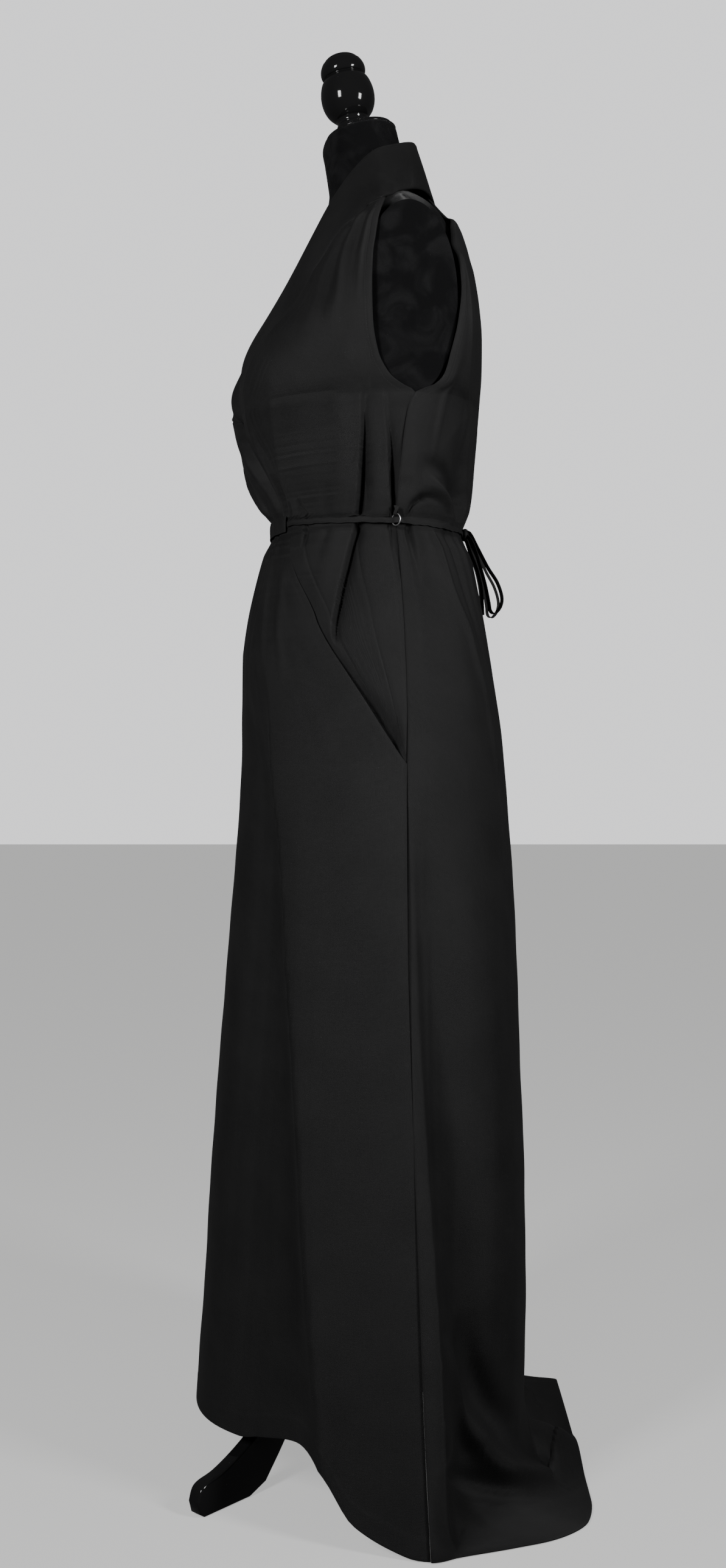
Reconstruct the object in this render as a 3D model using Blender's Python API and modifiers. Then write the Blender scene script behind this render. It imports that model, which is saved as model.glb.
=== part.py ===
"""Sleeveless wrap maxi dress on a limbless dress form, all sizes in metres.

+Z is up and the floor is z = 0. The dress front faces -Y and the wearer's left is +X.
Every height, width and depth is measured from the stand's pole line. FOOTPRINT_SHIFT
then moves the whole object, so that its origin is the middle of its footprint.

The cloth is one imagined skin, cut into panels. A place on it is a height and a turn:
the turn is 0 degrees at the left side seam, 90 at the centre and 180 at the right side
seam, on the front half and on the back half alike.
"""

import math
from collections import namedtuple

import bmesh
import bpy
import numpy as np
from mathutils import Matrix, Vector

# Cloth
CLOTH = 0.0015  # a panel with its hem or seam allowance
BAND = 0.0020  # the collar, which is two layers
GAP = 0.0003  # between pieces that touch
FOOTPRINT_SHIFT = -0.032

# Waist
WAIST_Z = 1.137
TIE_WIDTH = 0.0065
TIE_THICK = 0.0012
TAB_HEIGHT = 0.020
TAB_TURN = 58.0
TIE_END_TURN = 86.0
RING_RADIUS = 0.0067
RING_WIRE = 0.0008
RING_LIFT = 0.0071  # from the cloth to the ring's centre
RING_YAW = math.radians(45)

# Skirt
HEM_BLEND = 0.30  # below this height the rows follow the hem
TRAIN_BEND = 0.09  # below this height the back sweeps out on the floor
TRAIN_TURN = 14.0  # the sweep fades in over this turn from each side seam
POCKET_TOP_TURN = 56.0
POCKET_BOTTOM_Z = 0.8485
POCKET_DEPTH = 0.0019  # how far the pocket piece lies behind the mouth
POCKET_UNDER = 3.0  # and how many degrees it runs on under the mouth

# Stand
POLE_Y = -0.018
POLE_RADIUS = 0.0145
HUB_BOTTOM = 0.105
HUB_TOP = 0.225
LEG_REACH = 0.2592
LEG_THICK = 0.018
LEG_TURNS = {"leg_front": -41.9, "leg_back": 78.1, "leg_side": 198.1}
NECK_LEAN = math.atan(0.19)
NECK_TOP = Vector((0.0, -0.0116, 1.6419))
PLATE_CENTRE_Y = 0.052
PLATE_CENTRE_Z = 1.383
PLATE_HALF_WIDTH = 0.0568
PLATE_HALF_HEIGHT = 0.112
PLATE_THICK = 0.006
PLATE_FOOT_X = 0.1548  # its outer face at the height PLATE_FOOT_Z
PLATE_FOOT_Z = 1.270
PLATE_SPLAY = 0.0466  # how much further out it stands per metre of height

# One level of the cloth. side is the Y of the side seam, and above the underarm it is
# the Y of the armhole's edge. power is 2 for an ellipse, more for a squarer curve.
Level = namedtuple(
    "Level",
    "z front_width front_side front front_power back_width back_side back back_power",
)
LEVELS = (
    Level(0.0000, 0.3000, 0.0720, 0.2090, 2.00, 0.3000, 0.0720, 0.2000, 2.00),
    Level(0.1000, 0.2900, 0.0670, 0.2050, 2.00, 0.2900, 0.0670, 0.1975, 2.00),
    Level(0.2000, 0.2810, 0.0630, 0.1980, 2.00, 0.2810, 0.0630, 0.1995, 2.05),
    Level(0.3500, 0.2650, 0.0580, 0.1900, 2.05, 0.2650, 0.0580, 0.1980, 2.10),
    Level(0.5000, 0.2480, 0.0530, 0.1800, 2.10, 0.2480, 0.0530, 0.1925, 2.15),
    Level(0.6500, 0.2310, 0.0495, 0.1700, 2.10, 0.2310, 0.0495, 0.1875, 2.20),
    Level(0.8000, 0.2110, 0.0490, 0.1610, 2.15, 0.2110, 0.0490, 0.1780, 2.20),
    Level(0.9000, 0.1940, 0.0500, 0.1560, 2.20, 0.1940, 0.0500, 0.1690, 2.20),
    Level(1.0000, 0.1700, 0.0475, 0.1470, 2.20, 0.1700, 0.0475, 0.1525, 2.20),
    Level(1.0600, 0.1530, 0.0440, 0.1360, 2.20, 0.1530, 0.0440, 0.1400, 2.20),
    Level(1.1050, 0.1390, 0.0410, 0.1240, 2.15, 0.1390, 0.0410, 0.1310, 2.15),
    Level(1.1330, 0.1310, 0.0385, 0.1120, 2.10, 0.1310, 0.0385, 0.1215, 2.10),
    Level(1.1410, 0.1310, 0.0385, 0.1120, 2.10, 0.1310, 0.0385, 0.1215, 2.10),
    Level(1.1650, 0.1365, 0.0400, 0.1130, 2.10, 0.1365, 0.0400, 0.1290, 2.15),
    Level(1.2000, 0.1435, 0.0435, 0.1235, 2.15, 0.1435, 0.0435, 0.1335, 2.20),
    Level(1.2560, 0.1540, 0.0510, 0.1435, 2.25, 0.1540, 0.0510, 0.1410, 2.20),
    Level(1.2760, 0.1580, 0.0600, 0.1485, 2.30, 0.1580, 0.0600, 0.1427, 2.20),
    Level(1.2785, 0.1585, 0.0580, 0.1490, 2.30, 0.1585, 0.0650, 0.1430, 2.20),
    Level(1.2853, 0.1600, 0.0450, 0.1510, 2.30, 0.1600, 0.0830, 0.1435, 2.20),
    Level(1.2973, 0.1620, 0.0303, 0.1545, 2.30, 0.1610, 0.0935, 0.1445, 2.20),
    Level(1.3210, 0.1645, 0.0177, 0.1560, 2.10, 0.1625, 0.1005, 0.1460, 2.20),
    Level(1.3570, 0.1670, 0.0115, 0.1480, 1.75, 0.1615, 0.1090, 0.1462, 2.10),
    Level(1.3966, 0.1685, 0.0104, 0.1235, 1.55, 0.1560, 0.1130, 0.1430, 2.00),
    Level(1.4318, 0.1685, 0.0115, 0.1020, 1.45, 0.1480, 0.1095, 0.1380, 2.00),
    Level(1.4530, 0.1680, 0.0145, 0.0920, 1.42, 0.1405, 0.1020, 0.1330, 2.00),
    Level(1.4739, 0.1665, 0.0177, 0.0835, 1.42, 0.1250, 0.1020, 0.1275, 2.00),
    Level(1.4972, 0.1600, 0.0251, 0.0730, 1.50, 0.0890, 0.1040, 0.1205, 2.00),
    Level(1.5120, 0.1500, 0.0300, 0.0660, 1.60, 0.0550, 0.0985, 0.1090, 2.00),
    Level(1.5300, 0.1400, 0.0340, 0.0600, 1.60, 0.0370, 0.0880, 0.0965, 2.00),
    Level(1.5470, 0.1300, 0.0380, 0.0550, 1.60, 0.0300, 0.0755, 0.0835, 2.00),
)

# A fold runs through its knots. depth is inwards, and width is in degrees of turn.
Fold = namedtuple("Fold", "half depth width knots")
Knot = namedtuple("Knot", "z turn strength")
FRONT, BACK = "front", "back"
FOLDS = (
    Fold(FRONT, 0.016, 16.0, (
        Knot(0.950, 72.0, 0.0), Knot(0.600, 58.0, 0.7), Knot(0.000, 50.0, 1.0))),
    Fold(FRONT, 0.009, 13.0, (
        Knot(0.800, 18.0, 0.0), Knot(0.450, 14.0, 0.7), Knot(0.000, 12.0, 1.0))),
    Fold(BACK, 0.010, 12.0, (
        Knot(1.240, 40.0, 0.0), Knot(1.180, 56.0, 1.0), Knot(1.145, 62.0, 0.0))),
    Fold(BACK, 0.046, 15.0, (
        Knot(0.860, 14.0, 0.0), Knot(0.550, 22.0, 0.42), Knot(0.300, 30.0, 0.75),
        Knot(0.100, 36.0, 1.0), Knot(0.000, 38.0, 0.9))),
)

# Where each edge of the near front lies: the wrap's free edge, then the collar seam.
Edge = namedtuple("Edge", "z turn")
WRAP_EDGE = (
    Edge(0.000, 97.0), Edge(1.127, 95.0), Edge(1.147, 63.0), Edge(1.176, 67.0),
    Edge(1.217, 77.0), Edge(1.255, 88.0), Edge(1.272, 90.0),
)
COLLAR_SEAM = (
    Edge(1.272, 90.0), Edge(1.300, 75.0), Edge(1.335, 62.0), Edge(1.362, 54.5),
    Edge(1.394, 48.8), Edge(1.432, 48.0), Edge(1.444, 45.5), Edge(1.4645, 40.0),
    Edge(1.479, 33.0), Edge(1.485, 27.0), Edge(1.4930, 20.0), Edge(1.4970, 10.0),
    Edge(1.4990, 3.0),
)
# The far front hangs fuller than the near one, just above the waist.
Fullness = namedtuple("Fullness", "z out")
FULLNESS = (
    Fullness(1.148, 0.0), Fullness(1.165, 0.014), Fullness(1.182, 0.0205),
    Fullness(1.200, 0.0215), Fullness(1.234, 0.0165), Fullness(1.279, 0.0120),
    Fullness(1.321, 0.0070), Fullness(1.350, 0.0),
)
POCKET_SLANT = (
    Edge(0.8485, 0.0), Edge(0.877, 4.5), Edge(0.914, 10.5), Edge(0.953, 17.5),
    Edge(0.991, 25.2), Edge(1.012, 29.0), Edge(1.026, 31.0), Edge(1.095, 47.5),
    Edge(1.137, 56.0),
)

# Front hem height by turn, and the train's hem on the floor.
HemHeight = namedtuple("HemHeight", "turn z")
FRONT_HEM = (
    HemHeight(0.0, 0.0010), HemHeight(3.0, 0.0016), HemHeight(8.0, 0.0078),
    HemHeight(17.5, 0.0300), HemHeight(25.0, 0.0790), HemHeight(34.0, 0.0985),
    HemHeight(48.5, 0.0855), HemHeight(56.0, 0.0770), HemHeight(66.0, 0.0765),
    HemHeight(90.0, 0.0745),
)
HemPlace = namedtuple("HemPlace", "turn x y")
TRAIN_HEM = (
    HemPlace(0.0, 0.2995, 0.0720), HemPlace(10.0, 0.2870, 0.1050),
    HemPlace(25.0, 0.2660, 0.1650), HemPlace(40.0, 0.2455, 0.2125),
    HemPlace(52.0, 0.2050, 0.2520), HemPlace(62.0, 0.1536, 0.2626),
    HemPlace(90.0, 0.0030, 0.2651), HemPlace(118.0, -0.1400, 0.2672),
    HemPlace(132.0, -0.2230, 0.2680), HemPlace(140.0, -0.2345, 0.2350),
    HemPlace(155.0, -0.2640, 0.1650), HemPlace(170.0, -0.2870, 0.1050),
    HemPlace(180.0, -0.2995, 0.0720),
)

# Tie height by turn from the centre front (-90) past the side seam (0) to the back (90).
TieHeight = namedtuple("TieHeight", "turn z")
TIE_HEIGHTS = (
    TieHeight(-90.0, 1.1372), TieHeight(-58.0, 1.1378), TieHeight(-33.0, 1.1356),
    TieHeight(0.0, 1.1325), TieHeight(23.0, 1.1310), TieHeight(45.0, 1.1308),
    TieHeight(73.0, 1.1331), TieHeight(90.0, 1.1345),
)

# Collar, left half, from the tip of the lapel to the centre back. The seam's place is
# a height and a turn on the front for as long as it is sewn, and then a free edge.
SewnCollar = namedtuple("SewnCollar", "seam_z x y z bow")
SEWN_COLLAR = (
    SewnCollar(1.2740, 0.0040, -0.1490, 1.2740, 0.000),
    SewnCollar(1.3000, -0.0060, -0.1575, 1.2960, 0.001),
    SewnCollar(1.3350, -0.0060, -0.1560, 1.3380, 0.002),
    SewnCollar(1.3620, -0.0010, -0.1420, 1.3700, 0.003),
    SewnCollar(1.3940, 0.0080, -0.1225, 1.3980, 0.004),
    SewnCollar(1.4320, 0.0210, -0.0955, 1.4385, 0.004),
    SewnCollar(1.4645, 0.0360, -0.0640, 1.4935, 0.003),
    SewnCollar(1.4850, 0.0470, -0.0400, 1.5365, 0.001),
    SewnCollar(1.4930, 0.0610, -0.0245, 1.5605, -0.002),
    SewnCollar(1.4975, 0.0685, 0.0010, 1.5830, -0.003),
)
FreeCollar = namedtuple("FreeCollar", "low_x low_y low_z x y z bow")
FREE_COLLAR = (
    FreeCollar(0.1410, 0.0335, 1.5088, 0.0680, 0.0180, 1.5920, -0.004),
    FreeCollar(0.1190, 0.0425, 1.5215, 0.0615, 0.0340, 1.5980, -0.004),
    FreeCollar(0.0920, 0.0580, 1.5340, 0.0520, 0.0470, 1.6040, -0.003),
    FreeCollar(0.0640, 0.0730, 1.5425, 0.0370, 0.0570, 1.6110, 0.000),
    FreeCollar(0.0340, 0.0852, 1.5430, 0.0190, 0.0635, 1.6170, 0.001),
    FreeCollar(0.0000, 0.0906, 1.5430, 0.0000, 0.0655, 1.6220, 0.001),
)

# The form. lean tips a level forwards, as a slope.
FormLevel = namedtuple(
    "FormLevel", "z width front_side front front_power back_side back back_power lean"
)
FORM_LEVELS = (
    FormLevel(0.8000, 0.1450, 0.020, 0.0900, 2.2, 0.020, 0.1100, 2.2, 0.0),
    FormLevel(0.8060, 0.1550, 0.020, 0.0990, 2.2, 0.020, 0.1190, 2.2, 0.0),
    FormLevel(0.8600, 0.1660, 0.025, 0.1080, 2.2, 0.025, 0.1300, 2.2, 0.0),
    FormLevel(0.9200, 0.1660, 0.030, 0.1100, 2.2, 0.030, 0.1330, 2.2, 0.0),
    FormLevel(1.0000, 0.1500, 0.035, 0.1040, 2.2, 0.035, 0.1260, 2.2, 0.0),
    FormLevel(1.0700, 0.1280, 0.038, 0.0950, 2.2, 0.038, 0.1100, 2.2, 0.0),
    FormLevel(1.1370, 0.1140, 0.0385, 0.0870, 2.1, 0.0385, 0.0990, 2.1, 0.0),
    FormLevel(1.1900, 0.1220, 0.045, 0.0970, 2.2, 0.045, 0.1080, 2.2, 0.0),
    FormLevel(1.2450, 0.1400, 0.050, 0.1190, 2.2, 0.055, 0.1190, 2.2, 0.0),
    FormLevel(1.2700, 0.1482, 0.036, 0.1290, 2.2, 0.068, 0.1230, 2.2, 0.0),
    FormLevel(1.3000, 0.1496, 0.020, 0.1370, 2.1, 0.084, 0.1270, 2.2, 0.0),
    FormLevel(1.3450, 0.1517, 0.004, 0.1320, 1.8, 0.098, 0.1300, 1.5, 0.0),
    FormLevel(1.4000, 0.1543, 0.000, 0.1040, 1.6, 0.100, 0.1285, 1.35, 0.0),
    FormLevel(1.4500, 0.1566, 0.009, 0.0790, 1.5, 0.088, 0.1215, 1.25, 0.0),
    FormLevel(1.4750, 0.1572, 0.021, 0.0680, 1.5, 0.079, 0.1150, 1.5, 0.0),
    FormLevel(1.4900, 0.1545, 0.036, 0.0610, 1.6, 0.066, 0.1095, 1.8, 0.0),
    FormLevel(1.5030, 0.1450, 0.044, 0.0555, 1.7, 0.052, 0.1030, 2.0, 0.0),
    FormLevel(1.5185, 0.1200, 0.043, 0.0500, 1.8, 0.045, 0.0920, 2.0, 0.0),
    FormLevel(1.5325, 0.0900, 0.038, 0.0460, 1.9, 0.038, 0.0810, 2.0, 0.0),
    FormLevel(1.5430, 0.0710, 0.033, 0.0435, 1.9, 0.033, 0.0715, 2.0, 0.0),
    FormLevel(1.5560, 0.0600, 0.025, 0.0420, 2.0, 0.025, 0.0635, 2.0, 0.02),
    FormLevel(1.5750, 0.0530, 0.015, 0.0440, 2.0, 0.015, 0.0560, 2.0, 0.08),
    FormLevel(1.6000, 0.0500, 0.004, 0.0475, 2.0, 0.004, 0.0495, 2.0, 0.12),
    FormLevel(1.6200, 0.0488, 0.001, 0.0502, 2.0, 0.001, 0.0440, 2.0, 0.18),
    FormLevel(1.6300, 0.0466, -0.001, 0.0478, 2.0, -0.001, 0.0415, 2.0, 0.19),
    FormLevel(1.6360, 0.0420, -0.001, 0.0420, 2.0, -0.001, 0.0388, 2.0, 0.19),
    FormLevel(1.6388, 0.0350, 0.000, 0.0350, 2.0, 0.000, 0.0355, 2.0, 0.19),
    FormLevel(1.6410, 0.0345, 0.000, 0.0345, 2.0, 0.000, 0.0350, 2.0, 0.19),
    FormLevel(1.6420, 0.0320, 0.000, 0.0330, 2.0, 0.000, 0.0320, 2.0, 0.19),
    FormLevel(1.6440, 0.0215, -0.0116, 0.0322, 2.0, -0.0116, 0.0105, 2.0, 0.19),
)

# Turned profiles, from the bottom up: radius and height along the axis.
Turned = namedtuple("Turned", "radius height")
FINIAL = (
    Turned(0.0205, 0.0000), Turned(0.0203, 0.0030), Turned(0.0188, 0.0070),
    Turned(0.0200, 0.0108), Turned(0.0232, 0.0132), Turned(0.0285, 0.0195),
    Turned(0.0322, 0.0285), Turned(0.0334, 0.0384), Turned(0.0324, 0.0480),
    Turned(0.0294, 0.0572), Turned(0.0246, 0.0640), Turned(0.0268, 0.0655),
    Turned(0.0280, 0.0700), Turned(0.0272, 0.0760), Turned(0.0240, 0.0822),
    Turned(0.0214, 0.0836), Turned(0.0205, 0.0858), Turned(0.0160, 0.0890),
    Turned(0.0085, 0.0912),
)
HUB = (
    Turned(0.016, 0.000), Turned(0.026, 0.004), Turned(0.030, 0.012),
    Turned(0.030, 0.090), Turned(0.027, 0.098), Turned(0.022, 0.104),
    Turned(0.019, 0.120),
)
POLE = (
    Turned(POLE_RADIUS, 0.0000), Turned(POLE_RADIUS, 0.5500), Turned(0.0220, 0.5620),
    Turned(0.0450, 0.5690), Turned(0.0460, 0.5744),
)
# A leg's outline, out from the pole line: the top edge, then the underside back in.
LegPoint = namedtuple("LegPoint", "reach z")
LEG_TOP = (
    LegPoint(0.0305, 0.190), LegPoint(0.060, 0.176), LegPoint(0.100, 0.136),
    LegPoint(0.130, 0.102), LegPoint(0.160, 0.0745), LegPoint(0.190, 0.0560),
    LegPoint(0.222, 0.0420), LegPoint(0.245, 0.0370), LegPoint(0.2545, 0.0310),
    LegPoint(LEG_REACH, 0.0180),
)
LEG_UNDER = (
    LegPoint(0.2555, 0.0050), LegPoint(0.2485, 0.0000), LegPoint(0.1780, 0.0000),
    LegPoint(0.1520, 0.0100), LegPoint(0.1300, 0.0360), LegPoint(0.1000, 0.0740),
    LegPoint(0.0600, 0.1120), LegPoint(0.0305, 0.1240),
)


# ---------------------------------------------------------------- curves and skin

def smooth(table, key, name):
    """Read a column between its rows, on a curve that never overshoots them."""
    xs = [row[0] for row in table]
    ys = [getattr(row, name) for row in table]
    key = min(max(key, xs[0]), xs[-1])
    i = min(max(int(np.searchsorted(xs, key)) - 1, 0), len(xs) - 2)
    slopes = [(ys[k + 1] - ys[k]) / (xs[k + 1] - xs[k]) for k in range(len(xs) - 1)]

    def tangent(k):
        if k in (0, len(xs) - 1):
            return slopes[min(k, len(slopes) - 1)]
        before, after = slopes[k - 1], slopes[k]
        return 0.0 if before * after <= 0 else 2 * before * after / (before + after)

    step = xs[i + 1] - xs[i]
    u = (key - xs[i]) / step
    return (
        ys[i] * (1 + 2 * u) * (1 - u) ** 2
        + ys[i + 1] * u * u * (3 - 2 * u)
        + step * (tangent(i) * u * (1 - u) ** 2 - tangent(i + 1) * u * u * (1 - u))
    )


def ease(value):
    """Go from 0 to 1 smoothly as value does."""
    value = min(max(value, 0.0), 1.0)
    return value * value * (3 - 2 * value)


def power(value, exponent):
    return math.copysign(abs(value) ** exponent, value)


def waist_height(half, turn):
    """Height of the tie's middle at a turn on either half."""
    near = min(turn, 180 - turn)
    return smooth(TIE_HEIGHTS, -near if half == FRONT else near, "z")


def plain_skin(half, z, turn):
    """The cloth's outer face without folds, hem or train."""
    offset = waist_height(half, turn) - WAIST_Z
    level = z - offset * math.exp(-(((z - WAIST_Z) / 0.05) ** 2))
    width, side, depth, square = (
        smooth(LEVELS, level, half + column)
        for column in ("_width", "_side", "", "_power")
    )
    angle = math.radians(turn)
    sign = -1 if half == FRONT else 1
    return Vector((
        width * power(math.cos(angle), 2 / square),
        side + (sign * depth - side) * abs(math.sin(angle)) ** (2 / square),
        z,
    ))


def skin_outward(half, z, turn):
    """Level direction straight out of the cloth."""
    low, high = plain_skin(half, z, turn - 0.5), plain_skin(half, z, turn + 0.5)
    along = (high - low).normalized()
    out = Vector((along.y, -along.x, 0.0))
    return out if half == BACK else -out


def fold_depth(half, z, turn):
    """How far the folds draw the cloth in. Both sides fold alike."""
    near = min(turn, 180 - turn)
    depth = 0.0
    for fold in FOLDS:
        if fold.half != half:
            continue
        knots = sorted(fold.knots)
        if not knots[0].z <= z <= knots[-1].z:
            continue
        middle = smooth(knots, z, "turn")
        strength = smooth(knots, z, "strength")
        depth += fold.depth * strength * math.exp(-(((near - middle) / fold.width) ** 2))
    return depth


def skin(half, z, turn, out=0.0):
    """The cloth's outer face at one height, with folds, moved out."""
    return plain_skin(half, z, turn) + skin_outward(half, z, turn) * (
        out - fold_depth(half, z, turn)
    )


def leg_mound(place):
    """Height that the cloth needs where it rides over the back leg."""
    turn = math.radians(LEG_TURNS["leg_back"])
    along = place.x * math.cos(turn) + (place.y - POLE_Y) * math.sin(turn)
    across = abs(-place.x * math.sin(turn) + (place.y - POLE_Y) * math.cos(turn))
    top = smooth(LEG_TOP, along, "z") if along < LEG_REACH - 0.004 else 0.034
    past = ease((along - LEG_REACH) / 0.022)
    beside = ease((across - 0.5 * LEG_THICK - 0.020) / 0.035)
    return (top + 0.0085) * (1 - past) * (1 - beside)


def dress_skin(half, z, turn, out=0.0):
    """The cloth's outer face, down to the hem and out over the train."""
    if z >= HEM_BLEND:
        return skin(half, z, turn, out)
    if half == FRONT:
        hem = smooth(FRONT_HEM, min(turn, 180 - turn), "z")
        return skin(half, hem + z / HEM_BLEND * (HEM_BLEND - hem), turn, out)
    hem = FRONT_HEM[0].z
    straight = skin(half, hem + z / HEM_BLEND * (HEM_BLEND - hem), turn, out)
    if z >= TRAIN_BEND:
        return straight
    top = skin(half, hem + TRAIN_BEND / HEM_BLEND * (HEM_BLEND - hem), turn, out)
    corner = Vector((top.x, top.y, 0.004))
    end = Vector((
        smooth(TRAIN_HEM, turn, "x"), smooth(TRAIN_HEM, turn, "y"), CLOTH + 0.0006
    ))
    u = 1 - z / TRAIN_BEND
    swept = top * (1 - u) ** 2 + corner * 2 * u * (1 - u) + end * u * u
    swept.z = max(swept.z, leg_mound(swept))
    return straight.lerp(swept, ease(min(turn, 180 - turn) / TRAIN_TURN))


# ---------------------------------------------------------------- meshes

def add_object(name, mesh, collection, material):
    """Make a node of a mesh. In a collection, it moves to the object's own frame."""
    colour, roughness, metallic = material
    made = bpy.data.materials.new(name)
    made.use_nodes = True
    shader = made.node_tree.nodes["Principled BSDF"]
    shader.inputs["Base Color"].default_value = (*colour, 1.0)
    shader.inputs["Roughness"].default_value = roughness
    shader.inputs["Metallic"].default_value = metallic
    if collection:
        mesh.transform(Matrix.Translation((0, FOOTPRINT_SHIFT, 0)))
    mesh.materials.append(made)
    mesh.shade_smooth()
    mesh.set_sharp_from_angle(angle=math.radians(50))
    obj = bpy.data.objects.new(name, mesh)
    if collection:
        collection.objects.link(obj)
    return obj


def finish(name, bm):
    """Make a mesh of a bmesh, with its faces turned outwards."""
    bmesh.ops.recalc_face_normals(bm, faces=bm.faces)
    mesh = bpy.data.meshes.new(name)
    bm.to_mesh(mesh)
    bm.free()
    return mesh


def wall(name, grid, normals, thickness, keep=None, flip=None):
    """A closed wall: grid holds its outer points by (row, column).

    The inner face lies at thickness behind the outer one. keep(row, column) says
    whether a cell is cloth, and flip which way it is cut into triangles.
    """
    bm = bmesh.new()
    outer, inner = {}, {}
    rows = max(key[0] for key in grid)
    columns = max(key[1] for key in grid)

    def corner(key):
        if key not in outer:
            behind = grid[key] - normals[key] * thickness
            behind.z = max(behind.z, 0.0)
            outer[key] = bm.verts.new(grid[key])
            inner[key] = bm.verts.new(behind)
        return key

    for i in range(rows):
        for j in range(columns):
            if keep is not None and not keep(i, j):
                continue
            a, b, c, d = [corner(k) for k in ((i, j), (i + 1, j), (i + 1, j + 1), (i, j + 1))]
            other_way = flip is not None and flip(i, j)
            for cell in ((a, b, d), (b, c, d)) if other_way else ((a, b, c), (a, c, d)):
                bm.faces.new([outer[key] for key in cell])
                bm.faces.new([inner[key] for key in reversed(cell)])
    partner = {outer[key]: inner[key] for key in outer}
    for edge in [e for e in bm.edges if e.is_boundary and e.verts[0] in partner]:
        loop = edge.link_loops[0]
        first, second = loop.vert, loop.link_loop_next.vert
        bm.faces.new((second, first, partner[first], partner[second]))
    return finish(name, bm)


def surface_wall(name, place, rows, columns, thickness, keep=None, flip=None):
    """A wall whose outer face is place(v, u), at the fractions rows and columns.

    Its normals come from place itself, so that neighbours have parallel edges.
    """
    step = 0.003
    grid, normals = {}, {}
    for i, v in enumerate(rows):
        for j, u in enumerate(columns):
            across = place(v, min(u + step, 1)) - place(v, max(u - step, 0))
            down = place(min(v + step, 1), u) - place(max(v - step, 0), u)
            grid[i, j] = place(v, u)
            normals[i, j] = across.cross(down).normalized()
    return wall(name, grid, normals, thickness, keep, flip)


def grid_normals(grid):
    """Outward normals of a grid of points, from the points beside each one."""
    normals = {}
    for i, j in grid:
        across = grid.get((i, j + 1), grid[i, j]) - grid.get((i, j - 1), grid[i, j])
        down = grid.get((i + 1, j), grid[i, j]) - grid.get((i - 1, j), grid[i, j])
        normals[i, j] = down.cross(across).normalized()
    return normals


def fractions(count):
    return [i / count for i in range(count + 1)]


def height_rows(heights):
    """Row fractions for a wall whose rows run down through the given heights."""
    top, bottom = heights[0], heights[-1]
    return [(top - z) / (top - bottom) for z in heights]


def spread(stops, counts, u):
    """Go from stop to stop as u goes from 0 to 1, with counts of columns between."""
    along = u * sum(counts)
    for start, end, count in zip(stops, stops[1:], counts):
        if along <= count + 1e-9:
            return start + (end - start) * along / count
        along -= count
    return stops[-1]


def path(points, v):
    """A smooth curve through points, for v from 0 to 1."""
    spot = v * (len(points) - 1)
    i = min(int(spot), len(points) - 2)
    u = spot - i
    p0, p1, p2, p3 = (
        Vector(points[min(max(k, 0), len(points) - 1)]) for k in range(i - 1, i + 3)
    )
    return (
        p1 * 2 + (p2 - p0) * u + (p0 * 2 - p1 * 5 + p2 * 4 - p3) * u * u
        + (p1 * 3 - p0 - p2 * 3 + p3) * u * u * u
    ) / 2


def loft(rings):
    """A closed solid through rings of points, from the bottom up."""
    bm = bmesh.new()
    made = [[bm.verts.new(point) for point in ring] for ring in rings]
    count = len(made[0])
    for low, high in zip(made, made[1:]):
        for k in range(count):
            n = (k + 1) % count
            bm.faces.new((low[k], low[n], high[n], high[k]))
    bm.faces.new(list(reversed(made[0])))
    bm.faces.new(made[-1])
    return bm


def circle(radius, height, segments):
    return [
        (radius * math.cos(2 * math.pi * k / segments),
         radius * math.sin(2 * math.pi * k / segments), height)
        for k in range(segments)
    ]


def mirrored(mesh, name):
    """A copy of a mesh, mirrored from the wearer's left to the right."""
    copy = mesh.copy()
    copy.name = name
    copy.transform(Matrix.Scale(-1, 4, (1, 0, 0)))
    copy.flip_normals()
    return copy


def add_pair(name, mesh, collection, material):
    """A piece and its mirrored twin."""
    add_object(name + "_right", mirrored(mesh, name + "_right"), collection, material)
    add_object(name + "_left", mesh, collection, material)


# ---------------------------------------------------------------- dress

FABRIC = ((0.030, 0.030, 0.031), 0.85, 0.0)
VELVET = ((0.008, 0.008, 0.009), 0.95, 0.0)
LACQUER = ((0.010, 0.010, 0.010), 0.18, 0.0)
SILVER = ((0.55, 0.55, 0.56), 0.25, 1.0)

BODICE_HEIGHTS = (
    1.4985, 1.4950, 1.4880, 1.4780, 1.4640, 1.4440, 1.4200, 1.3960, 1.3700, 1.3450,
    1.3210, 1.3040, 1.2900, 1.2760,
)
RACER_HEIGHTS = (
    1.5450, 1.5300, 1.5120, 1.4985, 1.4840, 1.4640, 1.4440, 1.4200, 1.3960, 1.3700,
    1.3450, 1.3210, 1.3040, 1.2900, 1.2820, 1.2760,
)
DRESS_HEIGHTS = (
    1.2560, 1.2300, 1.2000, 1.1760, 1.1580, 1.1480, WAIST_Z, 1.1290, 1.1150, 1.0900,
    1.0600, 1.0250, 0.9880, 0.9450, 0.8970, POCKET_BOTTOM_Z, 0.7500, 0.6300, 0.5100,
    0.4000, HEM_BLEND, 0.2100, 0.1450, TRAIN_BEND, 0.0600, 0.0350, 0.0160, 0.0,
)


SIDE_COLUMNS = 4  # above the pocket
FRONT_COLUMNS = 7  # from the pocket's slant to the inner edge
FAR_COLUMNS = 6  # from the far pocket's slant to the wrap's edge
UNDER_COLUMNS = 3  # of the far front, beneath the near one


def seam_inset(half, z):
    """Turn that leaves half a gap beside the side seam."""
    return math.degrees(0.7 * GAP / smooth(LEVELS, z, half + "_width"))


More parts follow.
